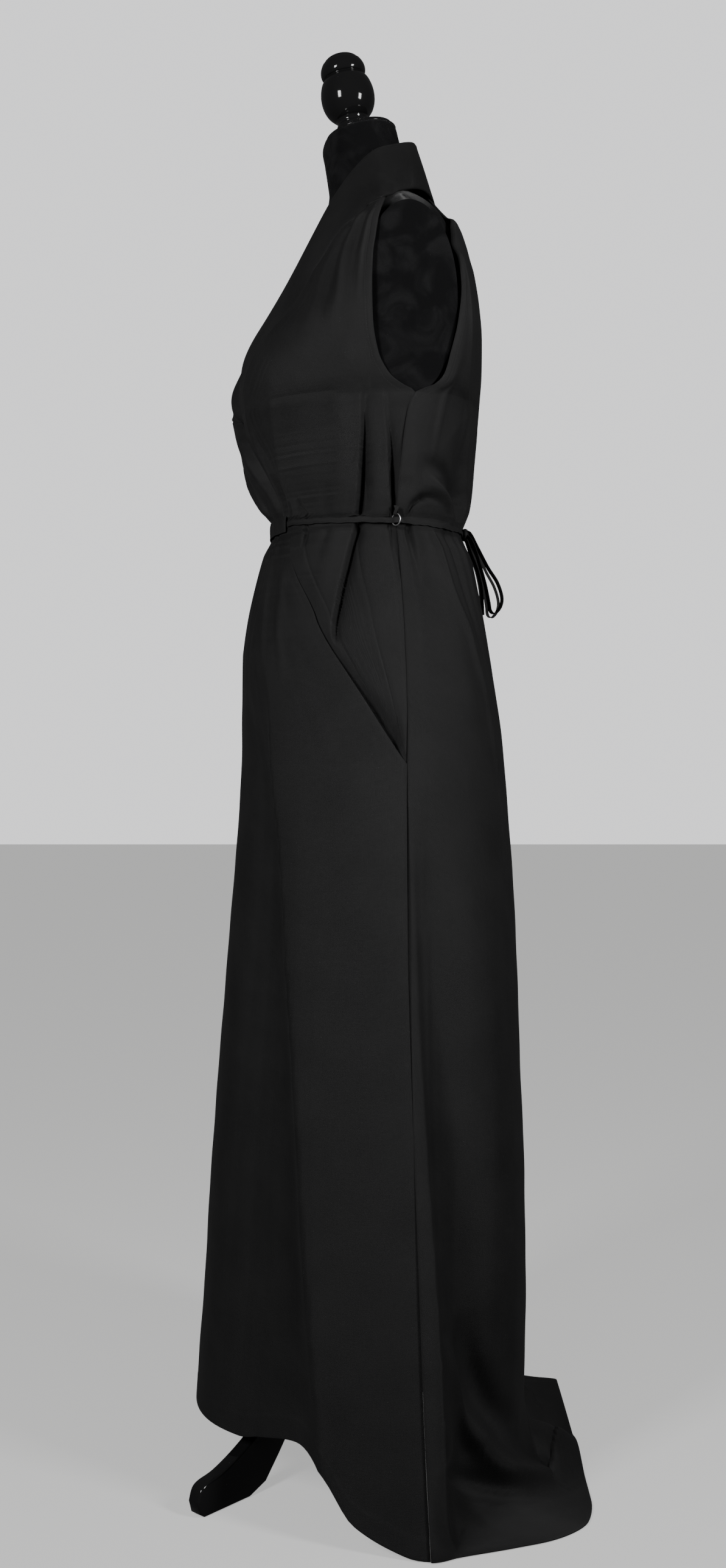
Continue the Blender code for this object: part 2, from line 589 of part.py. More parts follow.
def front_left_turn(z, u):
    """Turn of the front that laps over, from the side seam to its inner edge."""
    first = seam_inset(FRONT, z)
    if z > COLLAR_SEAM[0].z:
        edge = smooth(COLLAR_SEAM, z, "turn")
    else:
        edge = smooth(WRAP_EDGE, z, "turn")
    if z > WAIST_Z + 1e-6:
        even = SIDE_COLUMNS / (SIDE_COLUMNS + FRONT_COLUMNS) * edge
        split = POCKET_TOP_TURN + (even - POCKET_TOP_TURN) * ease((z - 1.15) / 0.1)
        split = min(split, 0.6 * edge)
    else:
        split = max(smooth(POCKET_SLANT, z, "turn"), first)
    return spread((first, split, edge), (SIDE_COLUMNS, FRONT_COLUMNS), u)


def build_front_left(collection):
    """The front that laps over, cut in one from the shoulder to the hem."""
    heights = BODICE_HEIGHTS + DRESS_HEIGHTS
    top, drop = heights[0], heights[0] - heights[-1]
    waist = heights.index(WAIST_Z)

    def place(v, u):
        z = top - drop * v
        return dress_skin(FRONT, z, front_left_turn(z, u))

    mesh = surface_wall(
        "front_left", place, height_rows(heights),
        fractions(SIDE_COLUMNS + FRONT_COLUMNS), CLOTH,
        lambda i, j: j >= SIDE_COLUMNS or i < waist,
    )
    add_object("front_left", mesh, collection, FABRIC)


def far_offset(z, turn):
    """The far front hangs full beside the wrap's edge and tucks in beneath it."""
    edge = smooth(WRAP_EDGE, z, "turn")
    if z > 1.13:
        edge = min(edge, 90.0)
    under = (1 - ease((turn - edge - 0.5) / 6.5)) * (1 - ease((z - 1.36) / 0.05))
    full = smooth(FULLNESS, z, "out") * math.exp(-(((turn - 97.0) / 24.0) ** 2))
    return full * (1 - under) - (CLOTH + GAP + 0.0012) * under


def front_right_turn(z, u):
    """Turn of the front that runs in under, from its inner edge to its side seam.

    Beneath the near front it has that front's own columns, so the two stay parallel.
    """
    counts = (1,) * UNDER_COLUMNS + (1, FAR_COLUMNS, SIDE_COLUMNS)
    first = 180 - seam_inset(FRONT, z)
    near = SIDE_COLUMNS + FRONT_COLUMNS
    edge = smooth(WRAP_EDGE, z, "turn")
    under = [front_left_turn(z, (near - k) / near) for k in range(UNDER_COLUMNS, -1, -1)]
    if z <= WAIST_Z + 1e-6:
        split = 180 - max(smooth(POCKET_SLANT, z, "turn"), 180 - first)
        return spread((*under, edge + 7, split, first), counts, u)
    last = max(under[0], 180 - smooth(COLLAR_SEAM, z, "turn"))
    if z <= COLLAR_SEAM[0].z:
        last = under[0]
    even = SIDE_COLUMNS / sum(counts)
    split = 180 - POCKET_TOP_TURN
    split += (first + (last - first) * even - split) * ease((z - 1.15) / 0.1)
    if z <= COLLAR_SEAM[0].z:
        return spread((*under, edge + 7, split, first), counts, u)
    low = [last + 0.1 * k for k in range(UNDER_COLUMNS + 1)] + [max(97.0, last + 0.4)]
    low = spread((*low, split, first), counts, u)
    return low + (last + (first - last) * u - low) * ease((z - COLLAR_SEAM[0].z) / 0.04)


def build_front_right(collection):
    """The front that runs in under the other one."""
    heights = BODICE_HEIGHTS + DRESS_HEIGHTS
    top, drop = heights[0], heights[0] - heights[-1]
    waist = heights.index(WAIST_Z)
    count = UNDER_COLUMNS + 1 + FAR_COLUMNS

    def place(v, u):
        z = top - drop * v
        turn = front_right_turn(z, u)
        return dress_skin(FRONT, z, turn, far_offset(z, turn))

    mesh = surface_wall(
        "front_right", place, height_rows(heights), fractions(count + SIDE_COLUMNS),
        CLOTH, lambda i, j: j < count or i < waist, lambda i, j: j > UNDER_COLUMNS,
    )
    add_object("front_right", mesh, collection, FABRIC)


def build_back(collection):
    """The back, in one piece, with a racer top."""
    heights = RACER_HEIGHTS + DRESS_HEIGHTS
    top, drop = heights[0], heights[0] - heights[-1]

    def place(v, u):
        z = top - drop * v
        first = seam_inset(BACK, z)
        return dress_skin(BACK, z, 180 - first + (2 * first - 180) * u)

    mesh = surface_wall("back", place, height_rows(heights), fractions(18), CLOTH)
    add_object("back", mesh, collection, FABRIC)


def build_pockets(collection):
    """The pocket piece behind each slanted mouth."""
    heights = [WAIST_Z - GAP - 0.0002, *(z for z in DRESS_HEIGHTS if z < WAIST_Z)]
    heights = [z for z in heights if z >= POCKET_BOTTOM_Z] + [0.8440]
    rows, counts = height_rows(heights), (4, 1)

    def place(v, u):
        z = heights[0] - (heights[0] - heights[-1]) * v
        first = seam_inset(FRONT, z)
        slant = max(smooth(POCKET_SLANT, z, "turn"), first)
        turn = spread((first, slant, slant + POCKET_UNDER), counts, u)
        share = min(1.0, max(turn / slant, 1 - slant / 10))
        under = ease((turn - slant) / POCKET_UNDER)
        return dress_skin(FRONT, z, turn, -POCKET_DEPTH * share - 0.0012 * under)

    mesh = surface_wall("pocket_left", place, rows, fractions(5), CLOTH)
    add_pair("pocket", mesh, collection, FABRIC)


# ---------------------------------------------------------------- collar

def seam_point(z, far):
    """The collar's end of the seam, half a gap off it, and the cloth's normal there."""
    step = 0.0008
    z = min(max(z, BODICE_HEIGHTS[-1] + step), BODICE_HEIGHTS[0] - step)

    def on_seam(height, across=0.0):
        turn = smooth(COLLAR_SEAM, height, "turn") + across
        out = far_offset(height, 180 - turn) if far else 0.0
        point = dress_skin(FRONT, height, 180 - turn if far else turn, out)
        return Vector((-point.x, point.y, point.z)) if far else point

    along = (on_seam(z + step) - on_seam(z - step)).normalized()
    across = on_seam(z, 0.4) - on_seam(z, -0.4)
    turn = smooth(COLLAR_SEAM, z, "turn")
    up = dress_skin(FRONT, z + step, turn) - dress_skin(FRONT, z - step, turn)
    normal = across.cross(up).normalized()
    if normal.y > 0:
        normal = -normal
    aside = normal.cross(along).normalized()
    if aside.dot(across + up) < 0:
        aside = -aside
    return on_seam(z) + aside * (5.0 if z > 1.49 else 3.0 if far else 1.5) * GAP, normal


def collar_mesh(name, far):
    """One half of the collar, built on the wearer's left. far tucks its lapel under."""
    grid, fixed = {}, {}
    columns = fractions(5)
    sewn = list(reversed(BODICE_HEIGHTS))
    for i, z in enumerate(sewn):
        start, normal = seam_point(z, far)
        end = Vector([smooth(SEWN_COLLAR, z, axis) for axis in "xyz"])
        bow = smooth(SEWN_COLLAR, z, "bow")
        if far:
            under = 1 - ease((end.z - 1.365) / 0.03)
            end.y += 0.0055 * under
            bow -= 0.003 * under
        fixed[i, 0] = normal
        for j, u in enumerate(columns):
            grid[i, j] = start.lerp(end, u) + normal * bow * 4 * u * (1 - u)
    for k, row in enumerate(FREE_COLLAR):
        start = Vector((row.low_x, row.low_y, row.low_z))
        end = Vector((row.x, row.y, row.z))
        if k == len(FREE_COLLAR) - 1:
            start.x = end.x = GAP / 2
        out = (end + start - Vector((0, 0.05, 2 * 1.45))).normalized()
        for j, u in enumerate(columns):
            grid[len(sewn) + k, j] = start.lerp(end, u) + out * row.bow * 4 * u * (1 - u)
    normals = grid_normals(grid)
    middle = grid[4, 2] - Vector((0, 0.03, grid[4, 2].z))
    if normals[4, 2].dot(middle) < 0:
        normals = {key: -normal for key, normal in normals.items()}
    normals.update(fixed)
    last = len(sewn) + len(FREE_COLLAR) - 1
    for j in range(len(columns)):
        normals[last, j] = Vector((0, normals[last, j].y, normals[last, j].z)).normalized()
    return wall(name, grid, normals, BAND)


def build_collar(collection):
    """The collar and its lapels, in two halves joined at the centre back."""
    add_object("collar_left", collar_mesh("collar_left", False), collection, FABRIC)
    far = mirrored(collar_mesh("collar_right", True), "collar_right")
    add_object("collar_right", far, collection, FABRIC)


# ---------------------------------------------------------------- belt

def tie_point(turn, across, out):
    """A place on the tie: turn runs from -90 at the front to 90 at the centre back."""
    half, near = (FRONT, -turn) if turn < 0 else (BACK, turn)
    lift = 0.0034 * math.exp(-((turn / 9.0) ** 2))
    return plain_skin(half, waist_height(half, near) + across, near) + skin_outward(
        half, WAIST_Z, max(near, 1.0)) * (out + lift)


def build_ties(collection):
    """The tab on the front and the tie from each of its ends to the back."""
    out = CLOTH + GAP + 0.0011

    def tab(v, u):
        turn = 90 + (u * 2 - 1) * (90 - TAB_TURN)
        z = waist_height(FRONT, turn) + (0.5 - v) * TAB_HEIGHT
        return plain_skin(FRONT, z, turn) + skin_outward(FRONT, z, turn) * out

    mesh = surface_wall("waist_tab", tab, fractions(2), fractions(10), CLOTH)
    add_object("waist_tab", mesh, collection, FABRIC)

    def tie(v, u):
        turn = TIE_END_TURN - (TIE_END_TURN + TAB_TURN - 0.4) * u
        return tie_point(turn, (0.5 - v) * TIE_WIDTH, TIE_THICK + GAP + 0.0008)

    mesh = surface_wall("tie_left", tie, fractions(1), fractions(30), TIE_THICK)
    add_pair("tie", mesh, collection, FABRIC)


def build_rings(collection):
    """A ring round the tie at each side seam, and the loop of cloth that holds it."""
    height = waist_height(BACK, 0)
    seam = plain_skin(FRONT, height, 0)
    centre = Vector((seam.x + RING_LIFT, seam.y, height))
    bpy.ops.mesh.primitive_torus_add(
        major_segments=20, minor_segments=6, major_radius=RING_RADIUS,
        minor_radius=RING_WIRE, location=(0, 0, 0),
    )
    made = bpy.context.active_object
    mesh = made.data.copy()
    bpy.data.objects.remove(made)
    plane = Matrix.Rotation(RING_YAW, 4, "Z") @ Matrix.Rotation(math.pi / 2, 4, "X")
    mesh.transform(Matrix.Translation(centre) @ plane)
    add_pair("belt_ring", mesh, collection, SILVER)
    build_ring_tabs(collection, centre)


def build_ring_tabs(collection, centre):
    """The loop of cloth round the top of each ring's wire."""
    top = centre + Vector((0, 0, RING_RADIUS))
    wire = Vector((math.cos(RING_YAW), math.sin(RING_YAW), 0))
    aside = Vector((-wire.y, wire.x, 0))
    reach = RING_WIRE + GAP + 0.0004
    seam_high = plain_skin(FRONT, top.z + 0.017, 0)
    anchor = seam_high + Vector((0.0021, 0.0, 0.0))
    turns = [math.radians(a) for a in (-10, 35, 90, 145, 190)]
    around = [top + (aside * math.cos(a) - Vector((0, 0, 1)) * math.sin(a)) * (
        reach + 0.0010) for a in turns]
    points = [anchor + Vector((0.0008, -0.0012, 0))] + around
    points.append(anchor + Vector((0.0008, 0.0012, -0.001)))
    cloth_way = Vector((0, 1, 0))

    def place(v, u):
        away = min(v, 1 - v) * 4
        way = cloth_way.lerp(wire, ease(away)).normalized()
        return path(points, v) + way * (u - 0.5) * 0.0042

    mesh = surface_wall("ring_tab_left", place, fractions(12), fractions(1), 0.0010)
    add_pair("ring_tab", mesh, collection, FABRIC)


def build_bow(collection):
    """The knot at the centre back, its two loops and the two loose ends."""
    behind = plain_skin(BACK, waist_height(BACK, 90), 90)
    bm = bmesh.new()
    bmesh.ops.create_uvsphere(bm, u_segments=16, v_segments=10, radius=1.0)
    bmesh.ops.transform(bm, matrix=Matrix.Translation(
        behind + Vector((0, 0.0053, 0.001))) @ Matrix.Diagonal((0.0088, 0.0048, 0.0078, 1)),
        verts=bm.verts)
    add_object("tie_knot", finish("tie_knot", bm), collection, FABRIC)
    add_pair("bow_loop", ribbon("bow_loop_left", LOOP_PATH, 20), collection, FABRIC)
    add_pair("tie_end", ribbon("tie_end_left", END_PATH, 10), collection, FABRIC)


Strand = namedtuple("Strand", "x y z")
LOOP_PATH = (
    Strand(0.0042, 0.1328, 1.1372), Strand(0.0100, 0.1420, 1.1180),
    Strand(0.0170, 0.1540, 1.0930), Strand(0.0230, 0.1650, 1.0740),
    Strand(0.0260, 0.1705, 1.0560), Strand(0.0262, 0.1690, 1.0440),
    Strand(0.0250, 0.1630, 1.0365), Strand(0.0230, 0.1570, 1.0385),
    Strand(0.0195, 0.1550, 1.0500), Strand(0.0150, 0.1510, 1.0720),
    Strand(0.0135, 0.1440, 1.0980), Strand(0.0118, 0.1375, 1.1190),
    Strand(0.0098, 0.1335, 1.1295),
)
END_PATH = (
    Strand(0.0034, 0.1280, 1.1274), Strand(0.0045, 0.1342, 1.1120),
    Strand(0.0075, 0.1420, 1.0900), Strand(0.0095, 0.1466, 1.0680),
    Strand(0.0105, 0.1478, 1.0500), Strand(0.0110, 0.1484, 1.0350),
)


def ribbon(name, points, count):
    """A strand of tie along a curve, with its width from side to side."""
    def place(v, u):
        ahead = path(points, min(v + 0.01, 1)) - path(points, max(v - 0.01, 0))
        wide = Vector((1, 0.35, 0)) - ahead * (Vector((1, 0.35, 0)).dot(ahead)
                                              / ahead.length_squared)
        return path(points, v) + wide.normalized() * (0.5 - u) * TIE_WIDTH * 0.8

    return surface_wall(name, place, fractions(count), fractions(1), TIE_THICK)


# ---------------------------------------------------------------- form and stand

def form_ring(level):
    """One level of the torso: the two rounded halves and the flat sides between."""
    ring = []
    for start, side, depth, square in (
        (180, level.front_side, -level.front, level.front_power),
        (0, level.back_side, level.back, level.back_power),
    ):
        for k in range(19):
            angle = math.radians(180 * k / 18)
            if start:
                angle = math.pi - angle
            x = level.width * power(math.cos(angle), 2 / square)
            y = side + (depth - side) * abs(math.sin(angle)) ** (2 / square)
            ring.append((x, y, level.z + level.lean * y))
    return ring


def build_torso(collection):
    """The padded torso, with its bare neck, and the cap on each arm side."""
    mesh = finish("torso", loft([form_ring(level) for level in FORM_LEVELS]))
    add_object("torso", mesh, collection, VELVET)
    rings = []
    for scale, depth in ((1.0, 0.0), (1.0, 0.0046), (0.975, PLATE_THICK),
                         (0.60, PLATE_THICK + 0.0004), (0.2, PLATE_THICK + 0.0006)):
        ring = []
        for x, y, _ in circle(scale, 0, 36):
            z = PLATE_CENTRE_Z + PLATE_HALF_HEIGHT * y
            foot = PLATE_FOOT_X - PLATE_THICK + (z - PLATE_FOOT_Z) * PLATE_SPLAY
            ring.append((foot + depth, PLATE_CENTRE_Y + PLATE_HALF_WIDTH * x, z))
        rings.append(ring)
    add_pair("arm_plate", finish("arm_plate_left", loft(rings)), collection, VELVET)


def turned(name, profile, segments):
    """A turned solid on +Z: its profile runs down the outer side, from axis to axis."""
    bm = bmesh.new()
    points = [(0.0, profile[-1].height), *((row.radius, row.height) for row in profile[::-1])]
    verts = [bm.verts.new((r, 0, z)) for r, z in (*points, (0.0, profile[0].height))]
    for first, second in zip(verts, verts[1:]):
        bm.edges.new((first, second))
    mesh = bpy.data.meshes.new(name)
    bm.to_mesh(mesh)
    bm.free()
    obj = add_object(name, mesh, None, LACQUER)
    screw = obj.modifiers.new("Turn", "SCREW")
    screw.steps = screw.render_steps = segments
    screw.use_merge_vertices = True
    screw.merge_threshold = 0.00005
    screw.use_smooth_shade = True
    return obj


def build_leg(name, turn):
    """A leg: its flat outline, as thick as LEG_THICK, stood on edge and turned."""
    curve = bpy.data.curves.new(name, "CURVE")
    curve.dimensions = "2D"
    curve.fill_mode = "BOTH"
    curve.bevel_depth = 0.002
    curve.bevel_resolution = 1
    curve.offset = -curve.bevel_depth
    curve.extrude = LEG_THICK / 2 - curve.bevel_depth
    outline = curve.splines.new("POLY")
    outline.points.add(len(LEG_TOP + LEG_UNDER) - 1)
    for point, (reach, z) in zip(outline.points, LEG_TOP + LEG_UNDER):
        point.co = (reach, z, 0, 1)
    outline.use_cyclic_u = True
    guide = bpy.data.objects.new(name + "_outline", curve)
    bpy.context.scene.collection.objects.link(guide)
    mesh = bpy.data.meshes.new_from_object(
        guide.evaluated_get(bpy.context.evaluated_depsgraph_get())
    )
    bpy.data.objects.remove(guide)
    bm = bmesh.new()
    bm.from_mesh(mesh)
    bmesh.ops.remove_doubles(bm, verts=bm.verts, dist=0.00005)
    mesh = finish(name, bm)
    mesh.transform(
        Matrix.Translation((0, POLE_Y, 0))
        @ Matrix.Rotation(math.radians(turn), 4, "Z")
        @ Matrix.Rotation(math.pi / 2, 4, "X")
    )
    return mesh


def build_stand(collection):
    """The finial, the pole, the hub and the three legs."""
    for name, profile, place in (
        ("finial", FINIAL, Matrix.Translation(NECK_TOP) @ Matrix.Rotation(NECK_LEAN, 4, "X")),
        ("hub", HUB, Matrix.Translation((0, POLE_Y, HUB_BOTTOM))),
        ("pole", POLE, Matrix.Translation((0, POLE_Y, HUB_TOP + GAP))),
    ):
        obj = turned(name, profile, 24)
        collection.objects.link(obj)
        obj.matrix_world = Matrix.Translation((0, FOOTPRINT_SHIFT, 0)) @ place
    for name, turn in LEG_TURNS.items():
        add_object(name, build_leg(name, turn), collection, LACQUER)


def main():
    for obj in list(bpy.data.objects):
        bpy.data.objects.remove(obj)
    collection = bpy.data.collections.new("maxi_dress_on_dress_form")
    bpy.context.scene.collection.children.link(collection)
    for build in (
        build_front_left, build_front_right, build_back, build_pockets, build_collar,
        build_ties, build_rings, build_bow, build_torso, build_stand,
    ):
        build(collection)


main()
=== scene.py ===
"""Looks of a sleeveless wrap maxi dress on a limbless dress form, all sizes in metres.

+Z is up and the floor is z = 0. The dress front faces -Y and the wearer's left is +X.
Heights, widths and depths are measured from the stand's pole line, and AXIS_Y then moves
them to the middle of the footprint.

The cloth is one imagined skin, cut into panels. A place on it is a height and a turn: the
turn is 0 degrees at the left side seam, 90 at the centre and 180 at the right side seam,
on the front half and on the back half alike.
"""

import logging
import math
from collections.abc import Callable, Sequence
from dataclasses import dataclass
from enum import Enum
from functools import lru_cache
from typing import ClassVar, NamedTuple

import bmesh
import bpy
import numpy as np
from mathutils import Matrix, Vector
from mathutils.bvhtree import BVHTree


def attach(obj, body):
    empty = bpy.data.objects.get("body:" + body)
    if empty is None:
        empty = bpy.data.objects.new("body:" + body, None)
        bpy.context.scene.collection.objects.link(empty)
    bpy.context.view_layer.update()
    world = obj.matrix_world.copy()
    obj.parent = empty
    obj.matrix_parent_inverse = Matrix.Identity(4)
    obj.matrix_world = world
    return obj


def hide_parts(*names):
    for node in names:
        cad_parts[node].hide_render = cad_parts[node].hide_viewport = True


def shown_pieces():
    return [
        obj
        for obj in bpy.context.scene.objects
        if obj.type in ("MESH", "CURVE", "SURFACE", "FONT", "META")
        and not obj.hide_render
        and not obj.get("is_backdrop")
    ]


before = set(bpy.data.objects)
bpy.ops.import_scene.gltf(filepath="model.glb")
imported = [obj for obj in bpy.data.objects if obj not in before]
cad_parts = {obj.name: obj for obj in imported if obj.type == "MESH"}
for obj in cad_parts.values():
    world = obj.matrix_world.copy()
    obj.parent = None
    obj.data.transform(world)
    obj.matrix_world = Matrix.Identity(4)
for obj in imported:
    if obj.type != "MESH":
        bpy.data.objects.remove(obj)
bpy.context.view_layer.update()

log = logging.getLogger("maxi_dress")
Array = np.ndarray
Place = Callable[[Array, Array], Array]
Piece = bpy.types.Object
Mesh = bmesh.types.BMesh
Tree = bpy.types.NodeTree
Socket = bpy.types.NodeSocket

BODY = "root"
AXIS_Y = -0.032  # the pole line, in the object's own frame

# Cloth
CLOTH = 0.0015  # a panel with its hem or seam allowance
GAP = 0.0003
SHELL = 0.0011  # the cloth itself
BAND = 0.002  # the collar, which is two layers
SEAM_DIP = 0.0006  # how far a seam's edges roll in
SEAM_ROLL = 0.0008
SHOULDER_SEAM_Z = 1.43  # the collar's seam sinks in above this
HEM_WIDTH = 0.0085  # of the armhole's hem
GROOVE_IN = 0.0008  # how far its stitched groove lies inside its width
STRAP_SQUARE = 0.42  # how square a strap's section is: 1 is an ellipse

# Waist
WAIST_Z = 1.137
TIE_WIDTH = 0.0065
TIE_THICK = 0.0012
TAB_HEIGHT = 0.02
TAB_TURN = 58.0
TIE_END_TURN = 86.0
RING_RADIUS = 0.0067
RING_WIRE = 0.0008
RING_LIFT = 0.0071
RING_YAW = math.radians(45)
RIBBON_WAY = (0.72, 0.7, 0.0)  # the way that a loop's or a loose end's width points

# Skirt
HEM_BLEND = 0.3
TRAIN_BEND = 0.09
TRAIN_TURN = 14.0
POCKET_TOP_TURN = 56.0
POCKET_BOTTOM_Z = 0.8485
POCKET_DEPTH = 0.0019
POCKET_UNDER = 3.0
LEG_CLEARANCE = 0.0085  # of the cloth that rides over a leg
UNDERARM_Z = 1.276
SHOULDER_Z = 1.4985
RACER_Z = 1.545

# Stand
POLE_Y = -0.018
POLE_RADIUS = 0.0145
HUB_BOTTOM = 0.105
HUB_TOP = 0.225
LEG_REACH = 0.2592
LEG_THICK = 0.018
LEG_TURNS = {"leg_front": -41.9, "leg_back": 78.1, "leg_side": 198.1}
NECK_LEAN = math.atan(0.19)
NECK_TOP = Vector((0.0, -0.0116, 1.6419))
PLATE_CENTRE_Y = 0.052
PLATE_CENTRE_Z = 1.383
PLATE_HALF_WIDTH = 0.0568
PLATE_HALF_HEIGHT = 0.112
PLATE_THICK = 0.006
PLATE_FOOT_X = 0.1548
PLATE_FOOT_Z = 1.27
PLATE_SPLAY = 0.0466


# ---- curves


@dataclass(frozen=True)
class Curve:
    """A smooth line through the rows of a table, which never overshoots them."""

    keys: tuple[float, ...]
    values: tuple[float, ...]

    def at(self, key: Array | float) -> Array:
        """Read the line.

        Args:
            key: Where to read it, and past either end it stays level.

        Returns:
            The values there.
        """
        xs, ys = np.array(self.keys), np.array(self.values)
        slopes = np.diff(ys) / np.diff(xs)
        before, after = slopes[:-1], slopes[1:]
        same_way = before * after > 0
        total = np.where(same_way, before + after, 1.0)
        inner = np.where(same_way, 2 * before * after / total, 0.0)
        tangents = np.concatenate((slopes[:1], inner, slopes[-1:]))
        key = np.clip(key, xs[0], xs[-1])
        i = np.clip(np.searchsorted(xs, key) - 1, 0, len(xs) - 2)
        step = xs[i + 1] - xs[i]
        u = (key - xs[i]) / step
        ends = ys[i] * (1 + 2 * u) * (1 - u) ** 2 + ys[i + 1] * u * u * (3 - 2 * u)
        return ends + step * (tangents[i] * u * (1 - u) ** 2 - tangents[i + 1] * u * u * (1 - u))


@lru_cache(maxsize=None)
def curve(table: tuple[NamedTuple, ...], column: str) -> Curve:
    """The line through one column of a table, by its first column, which rises."""
    return Curve(tuple(row[0] for row in table), tuple(getattr(row, column) for row in table))


def listed(kind: type, *rows: tuple) -> tuple:
    """A table: its rows, each with its columns named by kind."""
    return tuple(kind(*row) for row in rows)


def ease(value: Array | float) -> Array:
    """Go from 0 to 1 smoothly as value does."""
    value = np.clip(value, 0.0, 1.0)
    return value * value * (3 - 2 * value)


def bump(value: Array | float) -> Array:
    """A bell, 1 high at value 0."""
    return np.exp(-np.square(value))


def unit(vectors: Array) -> Array:
    """The same directions, each 1 long."""
    return vectors / np.maximum(np.linalg.norm(vectors, axis=-1, keepdims=True), 1e-12)


def squared(angle: Array, power: Array | float) -> tuple[Array, Array]:
    """Cosine and sine of an angle, each raised to a power with its sign kept."""
    return tuple(np.sign(part) * np.abs(part) ** power for part in (np.cos(angle), np.sin(angle)))


def path(points: Sequence[Sequence[float]], v: Array) -> Array:
    """A smooth curve through points.

    Args:
        points: The points that it passes through.
        v: Where to read it, from 0 to 1.

    Returns:
        The places there.
    """
    knots = np.array([tuple(point) for point in points])
    last = len(knots) - 1
    spot = np.clip(v, 0.0, 1.0) * last
    i = np.minimum(spot.astype(int), last - 1)
    u = (spot - i)[..., None]
    p0, p1, p2, p3 = (knots[np.clip(i + k, 0, last)] for k in (-1, 0, 1, 2))
    return (
        p1 * 2 + (p2 - p0) * u + (p0 * 2 - p1 * 5 + p2 * 4 - p3) * u * u
        + (p1 * 3 - p0 - p2 * 3 + p3) * u * u * u
    ) / 2


def heading(points: Sequence[Sequence[float]], v: Array) -> Array:
    """Which way a smooth curve through points runs."""
    step = 0.01
    return unit(path(points, np.minimum(v + step, 1)) - path(points, np.maximum(v - step, 0)))


def spread(stops: Sequence[Array], counts: Sequence[float], u: Array) -> Array:
    """Go from stop to stop as u goes from 0 to 1.

    Args:
        stops: The values to go through, each an array like u or a number.
        counts: How much of u lies between each two stops.
        u: Where to read.

    Returns:
        The values there.
    """
    bounds = np.concatenate(([0.0], np.cumsum(counts))) / sum(counts)
    value = stops[0] + np.zeros_like(u)
    for k in range(len(counts)):
        share = np.clip((u - bounds[k]) / (bounds[k + 1] - bounds[k]), 0.0, 1.0)
        value = value + (stops[k + 1] - stops[k]) * share
    return value


# ---- tables


class Half(Enum):
    """The two halves of the imagined skin."""

    FRONT = "front"
    BACK = "back"


class Side(Enum):
    """Which of the wearer's sides a fold is on."""

    LEFT = "left"
    RIGHT = "right"
    BOTH = "both"


class Bend(Enum):
    """How a fold's sides fall away from its middle.

    A ledge and a lap lie on one side of their line only. A ledge falls slowly from it, and a
    lap drops at once and then rises slowly.
    """

    SOFT = "soft"
    SHARP = "sharp"
    LEDGE = "ledge"
    LAP = "lap"


class Level(NamedTuple):
    """One level of the cloth. power is 2 for an ellipse, more for a squarer curve."""

    z: float
    front_width: float
    front_side: float
    front: float
    front_power: float
    back_width: float
    back_side: float
    back: float
    back_power: float


LEVELS = listed(
    Level,
    (0, 0.3, 0.072, 0.209, 2, 0.3, 0.072, 0.2, 2),
    (0.1, 0.29, 0.067, 0.205, 2, 0.29, 0.067, 0.1975, 2),
    (0.2, 0.281, 0.063, 0.198, 2, 0.281, 0.063, 0.1995, 2.05),
    (0.35, 0.265, 0.058, 0.19, 2.05, 0.265, 0.058, 0.198, 2.1),
    (0.5, 0.248, 0.053, 0.18, 2.1, 0.248, 0.053, 0.1925, 2.15),
    (0.65, 0.231, 0.0495, 0.17, 2.1, 0.231, 0.0495, 0.1875, 2.2),
    (0.8, 0.211, 0.049, 0.161, 2.15, 0.211, 0.049, 0.178, 2.2),
    (0.9, 0.194, 0.05, 0.156, 2.2, 0.194, 0.05, 0.169, 2.2),
    (1, 0.17, 0.0475, 0.147, 2.2, 0.17, 0.0475, 0.1525, 2.2),
    (1.06, 0.153, 0.044, 0.136, 2.2, 0.153, 0.044, 0.14, 2.2),
    (1.105, 0.139, 0.041, 0.124, 2.15, 0.139, 0.041, 0.131, 2.15),
    (1.133, 0.131, 0.0385, 0.112, 2.1, 0.131, 0.0385, 0.1215, 2.1),
    (1.141, 0.131, 0.0385, 0.112, 2.1, 0.131, 0.0385, 0.1215, 2.1),
    (1.165, 0.1365, 0.04, 0.113, 2.1, 0.1365, 0.04, 0.129, 2.15),
    (1.2, 0.1435, 0.0435, 0.1235, 2.15, 0.1435, 0.0435, 0.1335, 2.2),
    (1.256, 0.154, 0.051, 0.1435, 2.25, 0.154, 0.051, 0.141, 2.2),
    (1.276, 0.1574, 0.06, 0.1485, 2.3, 0.1574, 0.06, 0.1427, 2.2),
    (1.2785, 0.1577, 0.058, 0.1491, 2.28, 0.1575, 0.065, 0.143, 2.15),
    (1.2853, 0.1586, 0.045, 0.1505, 2.22, 0.1575, 0.083, 0.1435, 2),
    (1.2973, 0.16, 0.0303, 0.1526, 2.12, 0.158, 0.0935, 0.1445, 1.95),
    (1.321, 0.163, 0.0177, 0.154, 2, 0.1608, 0.1005, 0.146, 2.05),
    (1.357, 0.167, 0.0115, 0.148, 1.75, 0.1615, 0.109, 0.1462, 2.1),
    (1.3966, 0.1685, 0.0104, 0.1235, 1.55, 0.156, 0.113, 0.143, 2),
    (1.4318, 0.1685, 0.0115, 0.102, 1.45, 0.148, 0.1095, 0.138, 2),
    (1.453, 0.168, 0.0145, 0.092, 1.42, 0.1405, 0.102, 0.133, 2),
    (1.4739, 0.1665, 0.0177, 0.0835, 1.42, 0.125, 0.102, 0.1275, 2),
    (1.4972, 0.16, 0.0251, 0.073, 1.5, 0.089, 0.104, 0.1205, 2),
    (1.512, 0.15, 0.03, 0.066, 1.6, 0.055, 0.0985, 0.109, 2),
    (1.53, 0.14, 0.034, 0.06, 1.6, 0.037, 0.088, 0.0965, 2),
    (1.547, 0.13, 0.038, 0.055, 1.6, 0.03, 0.0755, 0.0835, 2),
)


